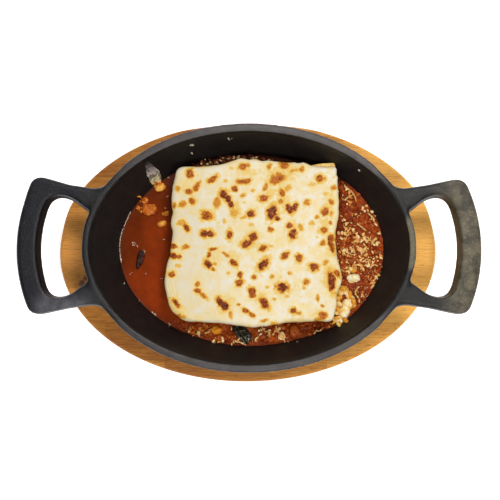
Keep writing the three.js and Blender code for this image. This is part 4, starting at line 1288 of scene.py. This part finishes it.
# %% Finishes of the pieces in the sauce
def wet_food(name, *paints, grain=2.6, roughness=0.25, depth=0.15, specular=0.18):
    """A moist food whose colour runs between three paints in soft patches, with a shiny skin."""
    skin = {"Subsurface_Weight": 0.1, "Subsurface_Radius": (1, 0.6, 0.3), "Subsurface_Scale": 0.002}
    food = Finish(name, **skin, Specular_IOR_Level=specular)
    patches = 0.6 * food.noise(grain, 2, 0.5) + 0.4 * food.noise(3 * grain, 2, 0.5)
    stops = [(at, *colour) for at, colour in zip((0.36, 0.5, 0.62), paints)]
    food.feed(Base_Color=food.ramp(patches, *stops), Roughness=roughness + 0.2 * patches)
    food.feed(Normal=food.bump(food.noise(grain / 2, 2, 0.5), depth, 0.6))
    return food


wet_food("sauced_carrot", (140, 60, 12), (184, 94, 22), (212, 128, 40)).put_on(carrots[0])
wet_food("bright_carrot", (178, 92, 18), (210, 132, 40), (230, 172, 78)).put_on(*carrots[1:4])
# Painted light: the near carrot is painted brighter, against the portion's shade.
wet_food("near_carrot_painted_light", (214, 120, 18), (240, 152, 30), (250, 186, 66)).put_on(carrots[4])
wet_food("charred_meat", (16, 8, 6), (36, 17, 11), (70, 36, 22)).put_on(browned_meat)
wet_food("soft_cheese", (228, 180, 90), (236, 212, 150), (242, 232, 198)).put_on(*cheese_lumps)
wet_food("oily_cheese", (206, 136, 34), (230, 196, 120), (238, 228, 200), grain=3.2).put_on(melted)

# %% [markdown]
# ## Crumbs of mince and grated cheese
#
# The sauce on the right is thick with mince, and grated cheese has half melted on it. A particle
# system would scatter copies, but these have to be real meshes. So each kind is one mesh of many
# small balls, each turned, stretched and dented by chance. A number from 0 to 1 for each crumb lets
# the finish colour them differently.

# %% Crumb makers
def ball():
    """Points and faces of a ball of 80 triangles."""
    work = bmesh.new()
    bmesh.ops.create_icosphere(work, subdivisions=2, radius=1)
    points = np.array([vertex.co[:] for vertex in work.verts])
    faces = np.array([[vertex.index for vertex in face.verts] for face in work.faces])
    work.free()
    return points, faces


def crumbs(name, places, sizes, seed, bumpy=0.45):
    """One mesh of crumbs at places (n, 3), with sizes (n, 3), each turned and dented by chance."""
    dice = np.random.default_rng(seed)
    shape, shape_faces = ball()
    count = len(places)
    chance = dice.uniform(0, 500, (count, 1, 3))
    uneven = shape[None] * (1 + bumpy * noise(shape[None] + chance, 0.9, seed))[..., None]
    x, y, z = np.moveaxis(uneven * np.asarray(sizes)[:, None] / 2, -1, 0)
    turn = dice.uniform(0, np.pi, count)[:, None]
    c, s = np.cos(turn), np.sin(turn)
    points = spatial(x * c - y * s, x * s + y * c, z) + np.asarray(places)[:, None]
    faces = shape_faces[None] + (np.arange(count) * len(shape))[:, None, None]
    tones = np.repeat(dice.uniform(0, 1, count), len(shape))
    print(name, count, "crumbs")
    return new_piece(name, points.reshape(-1, 3), faces.reshape(-1, 3).tolist(), {"tone": tones})


def on_sauce(px, py):
    """Points of the sauce's surface that the photo's pixels show."""
    height = SAUCE_Z + 3.0
    for _ in range(4):
        x, y = seen_at(px, py, height)
        height = sauce_surface(x, y)
    return spatial(x, y, height)


def in_open_sauce(points, margin):
    """True for points between the portion and the wall, at least a margin from the wall."""
    direction, reach = from_portion(points[..., 0], points[..., 1])
    edge = np.interp(direction, turns, crust_reach, period=2 * np.pi)
    return (reach > edge + 0.3) & (reach < wall_reach(direction, points[..., 2]) - margin)


def scattered(spots, dice):
    """Pixels strewn about each (pixel across, pixel down, spread, count), across and down."""
    across, down, spread, count = (np.array(part) for part in zip(*spots))
    count = count.astype(int)
    shift = dice.normal(0, 0.55, (2, count.sum())) * np.repeat(spread, count)
    return np.repeat(across, count) + shift[0], np.repeat(down, count) + shift[1]


def crumb_finish(name, *paints, roughness=0.3, near=0.0):
    """A finish whose colour differs from crumb to crumb and a little within each. near paints the crumbs at
    the near side brighter, as painted light.
    """
    skin = {"Subsurface_Weight": 0.1, "Subsurface_Scale": 0.001}
    food = Finish(name, **skin, Specular_IOR_Level=0.12)
    shade = 0.6 * food.number("tone") + 0.4 * food.noise(1.4, 2, 0.6)
    # Painted light: near brightens the crumbs at the near side, where the portion shades them.
    if near:
        shade = shade + near * (1 - food.along("Y").step(-55, -46))
    stops = [(at, *colour) for at, colour in zip(np.linspace(0.15, 0.85, len(paints)), paints)]
    food.feed(Base_Color=food.ramp(shade, *stops), Roughness=roughness + 0.15 * shade)
    food.feed(Normal=food.bump(food.noise(0.8, 2, 0.6), 0.2, 0.6))
    return food


print("a crumb has", len(ball()[1]), "triangles")

# %% [markdown]
# The mince is scattered evenly over the thick sauce by chance, apart from the lumps that stand out.
# Placing a thousand crumbs by hand would take days and look no better.

# %% Mince crumbs
# Lumps that stand out: pixel across and down, and length and width in millimetres.
MINCE_LUMPS = [
    (295, 332, 11, 8), (304, 336, 6, 5), (311, 336, 6, 5), (263, 331, 7, 6), (271, 338, 6, 5),
    (256, 340, 6, 5), (228, 337, 6, 5), (205, 337, 6, 5), (192, 333, 6, 5), (217, 338, 5, 4),
    (345, 210, 8, 6), (361, 225, 7, 5), (352, 262, 6, 5), (344, 246, 5, 4), (367, 252, 5, 5),
    (365, 273, 6, 5), (366, 290, 6, 5), (340, 205, 6, 5), (366, 215, 5, 5),
]

# Pieces that the crumbs leave free: x, y and radius in the dish's frame.
KEPT_FREE = [(-22.8, -57.6, 4.8), (-4.8, -60.4, 6.6), (74.3, -21, 5.5), (69, -40, 9), (68, -31, 5)]


def clear_of_pieces(points):
    """True for points that cover none of the named pieces."""
    apart = [np.hypot(points[:, 0] - x, points[:, 1] - y) > radius for x, y, radius in KEPT_FREE]
    return np.all(apart, axis=0)


def mince_crumbs(seed=5):
    dice = np.random.default_rng(seed)
    x = np.concatenate([dice.uniform(56, 100, 1100), dice.uniform(-62, 66, 420)])
    y = np.concatenate([dice.uniform(-52, 50, 1100), dice.uniform(-70, -50, 420)])
    points = spatial(x, y, sauce_surface(x, y))
    points = points[in_open_sauce(points, 1.0) & (meatiness(points[:, 0], points[:, 1]) > 0.5)]
    points = points[clear_of_pieces(points)]
    sizes = 0.9 + 2.4 * dice.power(0.5, (len(points), 1))
    sizes = sizes * dice.uniform([0.8, 0.6, 0.4], [1.2, 1, 0.6], (len(points), 3))
    points[:, 2] -= 0.05 * sizes[:, 2]
    across, down, length, width = (np.array(part) for part in zip(*MINCE_LUMPS))
    lumps = on_sauce(across, down)
    lumps[:, 2] -= 1.3
    lump_sizes = spatial(length, width, 0.5 * width)
    return crumbs("mince_crumbs", np.vstack([points, lumps]), np.vstack([sizes, lump_sizes]), seed, bumpy=0.5)


mince = mince_crumbs()
mince_paints = (88, 28, 6), (124, 44, 9), (148, 64, 16), (184, 96, 34)
crumb_finish("mince", *mince_paints, roughness=0.12, near=0.15).put_on(mince)

# %% [markdown]
# Grated cheese lies in clusters, and their pattern is what one sees first in this sauce. So clusters
# are placed where the photo shows them: pixel across and down, spread in pixels, and a count. Shreds
# that kept their form are chains of small crumbs along a bent line.

# %% Cheese crumbs
CHEESE_CLUSTERS = [
    # dense field on the right
    (362, 251, 5, 30), (347, 251, 6, 26), (355, 242, 5, 14), (356, 257, 6, 10), (361, 264, 5, 14),
    (353, 269, 5, 10), (372, 260, 5, 14), (375, 243, 5, 14), (377, 276, 4, 9), (368, 266, 4, 8),
    (371, 281, 4, 9), (368, 243, 4, 8), (379, 256, 3, 6), (347, 262, 5, 8), (373, 289, 4, 7),
    # sparser above it
    (348, 228, 6, 12), (351, 232, 3, 5), (345, 217, 4, 4), (341, 235, 4, 7), (358, 216, 4, 6),
    (372, 215, 4, 5), (371, 221, 3, 3), (360, 234, 5, 8), (356, 237, 3, 4), (366, 238, 4, 5),
    (343, 198, 3, 5), (349, 203, 2, 6), (350, 198, 2, 4), (347, 189.5, 2, 7), (350, 192, 2, 6),
    (379, 233, 1, 2), (366, 206, 1, 2), (365, 210, 3, 4), (376, 224, 3, 4), (344, 186, 1, 2),
    # near the melted cheese
    (363, 295, 3, 5), (357, 303, 3, 8), (355, 308, 3, 8), (350, 316, 3, 6), (346, 290, 3, 4),
    # near strip
    (277, 328.6, 2.6, 18), (281.4, 337, 3, 20), (287, 341, 3, 6), (262, 329, 4, 8), (268, 333, 4, 9),
    (241, 341, 4, 10), (234, 343, 3, 5), (214, 339, 3, 4), (222.5, 341, 3, 6), (197, 335, 4, 8),
    (301, 343, 3, 4), (311, 337, 3, 4), (330, 326, 2, 3), (337, 326, 2, 3), (188, 330, 3, 4),
    (207, 333, 3, 5), (255, 341, 3, 4),
]

# Shreds that kept their form: the pixels that each runs through.
CHEESE_SHREDS = [
    [(350.5, 191), (353, 194), (355, 198), (356, 202)], [(353, 195), (350, 196.5), (346.5, 198.5)],
    [(358.5, 287), (355.6, 290), (355.2, 294), (358.5, 298.5)],
    [(314, 333.5), (316, 330.5), (319.5, 331), (323, 327.5)],
    # Shreds on the leaf also stand for its highlights, as painted highlight.
    [(240.6, 327.6), (242.4, 328.8), (243, 331.4)], [(235.2, 340.6), (237.4, 342.2), (239.8, 342)],
    [(241.2, 342.8), (243.4, 343.8), (245.8, 345)], [(237.8, 340.2), (239.8, 338.2)],
    [(231.4, 327), (231.6, 330)], [(345, 187), (348, 189), (350.5, 191.5)],
    [(371, 288), (373, 284), (373.5, 280)], [(276, 326), (277, 330), (280, 334)],
    [(279, 334), (283, 338), (285, 342)], [(262, 327), (265, 331), (270, 332)],
    [(341, 270), (345, 272), (349, 270.5)], [(352, 243), (356, 241), (360, 242.5)],
    [(357.5, 247), (361.5, 250), (361, 255)], [(364, 245), (367.5, 249)],
    [(345.5, 249), (348.5, 252.5), (347, 257)], [(350, 247.5), (353.5, 249.5), (354, 253)],
    [(355, 262), (352, 266), (354, 270)], [(362.5, 262), (366.5, 259), (370, 262)],
    [(370, 268), (373.5, 264.5), (377, 266)], [(378, 274), (375, 279)],
    [(357, 224), (361, 227), (366, 231)], [(368, 213.5), (372, 217.5), (374, 222)],
    [(350.5, 232.5), (347, 236), (345, 240)], [(363, 236), (368, 238), (371, 242)],
    [(343, 226), (345.5, 229), (344.5, 233)],
]


def along_path(pixels, step=0.35):
    """Points along a bent line of pixels, close enough to melt into one shred."""
    pixels = np.array(pixels, float)
    reach = np.append(0, np.cumsum(np.hypot(*np.diff(pixels, axis=0).T)))
    at = np.arange(0, reach[-1], step / MM_PER_PIXEL)
    return on_sauce(np.interp(at, reach, pixels[:, 0]), np.interp(at, reach, pixels[:, 1]))


def cheese_crumbs(seed=8):
    dice = np.random.default_rng(seed)
    points = on_sauce(*scattered(CHEESE_CLUSTERS, dice))
    # These pale specks are grated cheese, and they also stand for glints on the wet sauce, as painted
    # highlight.
    pale_specks_and_glints = spatial(dice.uniform(56, 98, 400), dice.normal(-14, 20, 400))
    pale_specks_and_glints[:, 2] = sauce_surface(pale_specks_and_glints[:, 0], pale_specks_and_glints[:, 1])
    few = dice.uniform(0, 1, len(points) + len(pale_specks_and_glints)) ** 2
    few[: len(points)] = 1
    points = np.vstack([points, pale_specks_and_glints])
    kept = in_open_sauce(points, 0.4) & clear_of_pieces(points)
    points, few = points[kept], few[kept]
    sizes = 0.45 + 0.25 * few[:, None] + 1.8 * (few == 1)[:, None] * dice.power(0.7, (len(points), 1))
    sizes = sizes * dice.uniform([0.8, 0.6, 0.4], [1.6, 1, 0.7], (len(points), 3))
    points[:, 2] += 0.7 + 0.2 * sizes[:, 2]
    shreds = np.vstack([along_path(pixels) for pixels in CHEESE_SHREDS])
    shreds[:, 2] += 1.3
    thick = dice.uniform(0.8, 1.15, (len(shreds), 1)) * np.ones(3)
    return crumbs("grated_cheese", np.vstack([points, shreds]), np.vstack([sizes, thick]), seed)


cheese_and_glint_crumbs = cheese_crumbs()
crumb_finish("cheese_and_glint_crumbs", (190, 106, 40), (222, 154, 78), (238, 196, 124), (248, 228, 180)).put_on(cheese_and_glint_crumbs)

# %% [markdown]
# ## Splashes and crisp bits
#
# Some cheese and sauce left the heap: crumbs stuck to the wall, a dried line of fat along the left
# shore, which also stands for the shine where the sauce climbs the wall, pale specks that stand for
# glints as painted highlight, bits of vegetable beside the carrots, and crisp brown bits behind the far
# edge of the top. Such a bit could be dropped on to the mesh with a shrinkwrap. Here its place is found by
# going down a pixel's ray until it meets the wall or the sauce.

# %% Where a bit rests
def resting(px, py):
    """Just in front of the first point of the wall or the sauce that the photo's pixels show."""
    px, py = np.atleast_1d(px).astype(float), np.atleast_1d(py).astype(float)
    found = on_sauce(px, py)
    open_ray = np.ones(len(px), bool)
    for height in np.arange(RIM_Z - 1, SAUCE_Z, -0.15):
        x, y = seen_at(px, py, height)
        direction, reach = from_portion(x, y)
        hit = open_ray & (reach > wall_reach(direction, np.full(len(px), height)) - 0.45)
        found[hit] = spatial(x, y, height)[hit]
        open_ray &= ~hit
    return found


def bits(name, spots, size, seed, bumpy=0.4, lift=0.15):
    """Crumbs about (pixel across, pixel down, spread, count), on whatever the pixel shows."""
    dice = np.random.default_rng(seed)
    points = resting(*scattered(spots, dice))
    sizes = dice.uniform(*size, (len(points), 1))
    sizes = sizes * dice.uniform([0.9, 0.6, 0.5], [1.6, 1, 0.8], (len(points), 3))
    points[:, 2] += lift
    piece = crumbs(name, points, sizes, seed, bumpy)
    return piece


print("a pixel of the left wall shows the place", resting(130, 200)[0].round(1), "mm")

# %% [markdown]
# ## The herb leaf
#
# One wilted leaf lies in the sauce at the near edge. A flat card would look cut out of paper, so the
# leaf has two faces, a raised vein and wrinkles from noise, and it keeps the outline of the photo.

# %% Herb leaf
LEAF_EDGE = [  # pixels across and down
    (234, 324.5), (239, 324.6), (243.5, 326.8), (247.5, 329.8), (250.6, 333.4), (251.4, 338), (249, 342.6),
    (245.6, 344.4), (242.4, 342.4), (239.8, 339.6), (237, 335.6), (234.3, 331.6), (233, 328),
]


def wilted_leaf():
    """A thin, wrinkled leaf that lies on the sauce, as wide as the pixels of its edge."""
    edge = on_sauce(*np.array(LEAF_EDGE).T)
    x, y, z = edge.mean(axis=0)
    around = np.linspace(0, 2 * np.pi, 120, endpoint=False)
    direction = np.arctan2(edge[:, 1] - y, edge[:, 0] - x)
    reach = np.interp(around, direction, np.hypot(edge[:, 0] - x, edge[:, 1] - y), period=2 * np.pi)
    reach = sum(np.roll(reach, shift) for shift in range(-4, 5)) / 9
    rings = []
    under_side = [(0.1, 1), (0.5, 1), (0.92, 1), (1, 0.5)]
    for share, below in under_side + [(share, 0) for share in np.linspace(0.95, 0.05, 16)]:
        ring = spatial(x + share * reach * np.cos(around), y + share * reach * np.sin(around))
        from_vein = (ring[:, 0] - x) * 0.83 + (ring[:, 1] - y) * 0.56
        wrinkles = 0.9 * noise(ring, 3.4, 43) + 0.45 * noise(ring, 1.6, 44)
        ring[:, 2] = z + 1.5 + 0.9 * ridge(from_vein, 1.3) + wrinkles - 0.8 * below
        rings.append(ring)
    return ringed("wilted_leaf", rings)


leaf = stands_for(wilted_leaf(), "herb", "herb_leaf")
leaf_paints = (13, 14, 9), (30, 31, 19), (62, 54, 32)
wet_food("dark_leaf", *leaf_paints, grain=2.2, roughness=0.1, specular=0.5).put_on(leaf)

# %% [markdown]
# ## The streak of baked cheese
#
# Cheese ran down the far left wall and baked on to it. Paint on the iron would stay flat. A film of
# real thickness is laid over the wall: a strip of pixels is dropped on to the wall, and its copy, a
# little nearer to the middle of the dish, makes the upper face.

# %% Streak of baked cheese
STREAK = [  # pixel across and down, and width in pixels
    (146.6, 161.5, 4), (148, 165, 6.4), (150.6, 169, 9.6),
    (153.2, 173.5, 11.6), (155, 178, 11), (156.6, 183, 9),
]


def baked_streak():
    """A thin film of cheese that ran down the wall, thickest in its middle."""
    share = np.linspace(0, len(STREAK) - 1, 48)
    across, down, width = (np.interp(share, range(len(STREAK)), part) for part in zip(*STREAK))
    side = np.linspace(-1, 1, 13)
    ragged = 1 + 0.15 * noise(spatial(share[:, None], np.sign(side)), 0.6, 51)
    shift = side * ragged * width[:, None] / 2
    across, down = across[:, None] + shift, down[:, None] - 0.4 * shift
    film = resting(across.ravel(), down.ravel()).reshape(*shift.shape, 3)
    inward = [*MIDDLE, 0] - film * [1, 1, 0]
    inward = inward / np.linalg.norm(inward, axis=-1, keepdims=True) * 0.86 + [0, 0, 0.5]
    thick = 0.15 + (0.55 + 0.35 * noise(film, 1.8, 53)) * (1 - side**2) ** 0.7
    rings = np.concatenate([film + inward * thick[..., None], (film - 0.25 * inward)[:, ::-1]], axis=1)
    tone = np.repeat(share[:, None] / share[-1], rings.shape[1], axis=1)
    return ringed("baked_streak", rings, {"tone": tone})


def dried_film():
    film = Finish("dried_film", Roughness=0.5, Specular_IOR_Level=0.2)
    down_the_wall = film.number("tone") + 0.3 * (film.noise(2.2, 2, 0.6) - 0.5)
    iron, grey, cream = (0, 24, 21, 24), (0.25, 96, 86, 88), (1, 222, 206, 150)
    film_colour = film.ramp(down_the_wall, iron, grey, (0.5, 176, 164, 160), (0.75, 200, 190, 152), cream)
    spots = 0.75 * film.noise(2.4, 1, 0.5).step(0.52, 0.6)
    film.feed(Base_Color=film.coats(film_colour, (spots, 66, 54, 46)))
    film.feed(Normal=film.bump(film.noise(1.2, 2), 0.3, 0.6))
    return film


streak = stands_for(baked_streak(), "baked_on_cheese", "baked_cheese_streak")
dried_film().put_on(streak)

# %% [markdown]
# ## Small bits
#
# The last bits are each one mesh of crumbs, as the mince is. Every list gives pixel across and down,
# spread in pixels, and a count.

# %% Crumbs on the wall
wall_spots = [(192, 145.5, 1.2, 5), (192, 153, 0.8, 2), (229, 138.5, 1.5, 3), (359, 170, 0.5, 1)]
wall_crumbs = bits("wall_crumbs", wall_spots, (0.7, 1.5), seed=3)
crumb_finish("dried_bits", (150, 140, 120), (206, 196, 170), roughness=0.5).put_on(wall_crumbs)

# %% Shore line of fat, and pale specks as painted glints
SHORE = [(130.6, 211.7), (126, 222), (122, 232), (120.3, 239), (119.6, 247), (120.2, 256), (121.5, 262)]
# Painted highlight: pale specks where glints show on the wet sauce and the leaf, with a few pale bits.
PALE_BITS_AND_GLINTS = [
    (134, 244, 2.5, 7), (137, 246, 1.2, 3), (144, 251, 1.6, 5), (155, 314.5, 1.5, 6), (152, 312, 1, 2),
    (169.4, 323.4, 1.6, 6), (131, 274, 1, 2), (146, 273, 0.8, 1), (161, 279, 1, 2), (167, 196, 1, 3),
    (168, 178, 1.5, 4), (165, 208, 1, 2), (124, 283, 1, 2), (140, 301, 1, 2), (165, 240, 1, 2),
    (193, 335.6, 0.8, 3), (213.6, 339.4, 0.6, 3), (215, 342.8, 0.8, 2), (222.8, 342, 0.8, 4),
    (271, 326, 1, 3), (248.6, 342.8, 0.8, 2), (247.5, 333, 0.3, 2), (245.4, 331, 0.3, 1),
    (235.4, 336.3, 0.3, 2), (330, 326.4, 1, 3), (303, 335.6, 1.2, 4), (297, 341.4, 1, 3),
    (314, 325.7, 0.6, 2), (340, 323, 1, 3), (239.4, 341.8, 0.3, 2),
]
on_line = [np.interp(np.linspace(0, 6, 90), range(7), part) for part in zip(*SHORE)]
shore_line = [(across, down, 0.25, 1) for across, down in zip(*on_line)]
shore_line_and_glints = bits("shore_line_and_painted_glints", shore_line + PALE_BITS_AND_GLINTS, (0.42, 0.72), seed=4, bumpy=0.25)
crumb_finish("pale_fat_and_glints", (196, 150, 110), (230, 206, 172), (244, 234, 216), roughness=0.1).put_on(shore_line_and_glints)

# %% Crisp bits and flecks of cheese behind the top
CRISP = [
    (196, 165.8, 2.4, 10), (203, 164.6, 2.6, 20), (210, 163.8, 3, 16), (217, 162.8, 3, 18),
    (224, 160.8, 3, 26), (230, 160, 3, 26), (236, 159.2, 2.4, 16), (242, 158.4, 2, 6),
    (251, 159.6, 2.6, 14), (257, 160.4, 3, 16), (263, 161, 2.6, 10), (270, 161, 2, 6),
]
FLECKS = [
    (207.5, 165, 1, 6), (210.5, 162.8, 0.6, 4), (205.6, 160.6, 0.4, 2), (201, 164, 1, 3),
    (223.2, 158.8, 0.4, 2), (221, 161.4, 0.8, 3), (234, 158.4, 1.6, 7), (238.5, 157.8, 1, 5),
    (252.6, 159.6, 1.2, 9), (255.6, 158.4, 1, 7), (258, 161, 0.8, 5), (269, 160.6, 1, 5),
    (216, 163.6, 1.4, 3), (228, 160.4, 1.4, 3),
]
crisp = bits("crisp_bits", CRISP, (1.3, 3.0), seed=6, bumpy=0.25, lift=1.2)
flecks = bits("cheese_flecks", FLECKS, (0.6, 1.3), seed=16, lift=2.6)
crumb_finish("crisp", (38, 17, 8), (70, 30, 12), (104, 46, 16), (136, 74, 26)).put_on(crisp)
crumb_finish("flecks", (150, 116, 70), (206, 178, 124), (236, 216, 164)).put_on(flecks)

# %% Bits of vegetable
VEGETABLE = [
    (146, 203, 4, 10), (152, 207, 4, 8), (142, 209, 4, 8), (160, 186, 3, 9), (155, 183, 2, 4),
    (207, 326, 3, 7), (201, 330, 3, 7), (163, 215, 3, 3), (140, 200, 3, 5), (194, 333, 2, 3),
    (211, 331, 2, 3),
]
vegetable = bits("vegetable_bits", VEGETABLE, (1.2, 2.8), seed=7, lift=0.4)
crumb_finish("vegetable", (140, 60, 14), (190, 98, 28), (226, 150, 60)).put_on(vegetable)

# %% Cheese that ran down beside the top
FLOW = [
    (341.5, 288, 1.6, 5), (339.8, 293, 1.4, 5), (338.6, 298, 1.4, 6), (338, 303, 1.4, 6),
    (337.4, 308, 1.4, 6), (337, 313, 1.4, 6), (336.4, 318, 1.6, 6), (339, 322, 2.4, 7),
    (333.5, 323, 2, 4), (349, 296, 1.6, 4), (352, 301, 1.6, 4), (353, 307, 1.4, 4), (345, 320, 2, 4),
    (353, 270, 2, 3),
]
flow = bits("cheese_flow", FLOW, (2.0, 4.2), seed=12, bumpy=0.3, lift=1.8)
crumb_finish("flow", (190, 108, 20), (214, 144, 38), (230, 176, 76), (238, 210, 144)).put_on(flow)

# %% [markdown]
# ## Floor, light and colour
#
# The photo has a plain white ground. Its wood and rim are brightest on the right, so two soft lamps
# stand there, and two weaker ones on the left keep that side from going black. A picture of a studio
# would light it too, but lamps are easier to move. The standard view keeps colours as they are.

# %% Floor
bpy.ops.mesh.primitive_plane_add(size=60, location=(0, 0, -0.0005))
floor = bpy.context.object
floor.name = "floor"
glow = {"Emission_Color": (1, 1, 1, 1), "Emission_Strength": 0.75}
matt_white = {"Base_Color": (0.95, 0.95, 0.95, 1), "Roughness": 0.9, "Specular_IOR_Level": 0.1}
floor_finish = Finish("white_ground", **matt_white, **glow)
floor_finish.put_on(floor)

# %% Lights
LAMP_SIZE = 0.3
LAMPS = {  # place in metres, power in watts and colour
    "far_right_lamp": ((0.25, 0.42, 0.8), 4.3, (1, 0.97, 0.92)),
    "near_right_lamp": ((0.25, -0.45, 0.8), 3.5, (1, 0.98, 0.95)),
    "far_left_lamp": ((-0.25, 0.42, 0.8), 1.3, (0.92, 0.96, 1)),
    "near_left_lamp": ((-0.25, -0.45, 0.8), 1.5, (0.92, 0.96, 1)),
}


def soft_lamp(name, at, power, colour):
    """A round soft lamp that looks at the dish."""
    data = bpy.data.lights.new(name, "AREA")
    data.shape, data.size, data.energy, data.color = "DISK", LAMP_SIZE, power, colour
    lamp = bpy.data.objects.new(name, data)
    lamp.location = at
    away = Vector(at) - Vector((0, 0, 0.04))
    lamp.rotation_euler = away.to_track_quat("Z", "Y").to_euler()
    bpy.context.scene.collection.objects.link(lamp)
    print(name, power, "W at", at)


for name, lamp in LAMPS.items():
    soft_lamp(name, *lamp)

world = bpy.data.worlds.new("studio")
world.use_nodes = True
background = world.node_tree.nodes["Background"].inputs
background["Color"].default_value, background["Strength"].default_value = (0.98, 0.99, 1, 1), 0.1
bpy.context.scene.world = world
view = bpy.context.scene.view_settings
view.view_transform, view.look, view.exposure, view.gamma = "Standard", "None", 0, 1
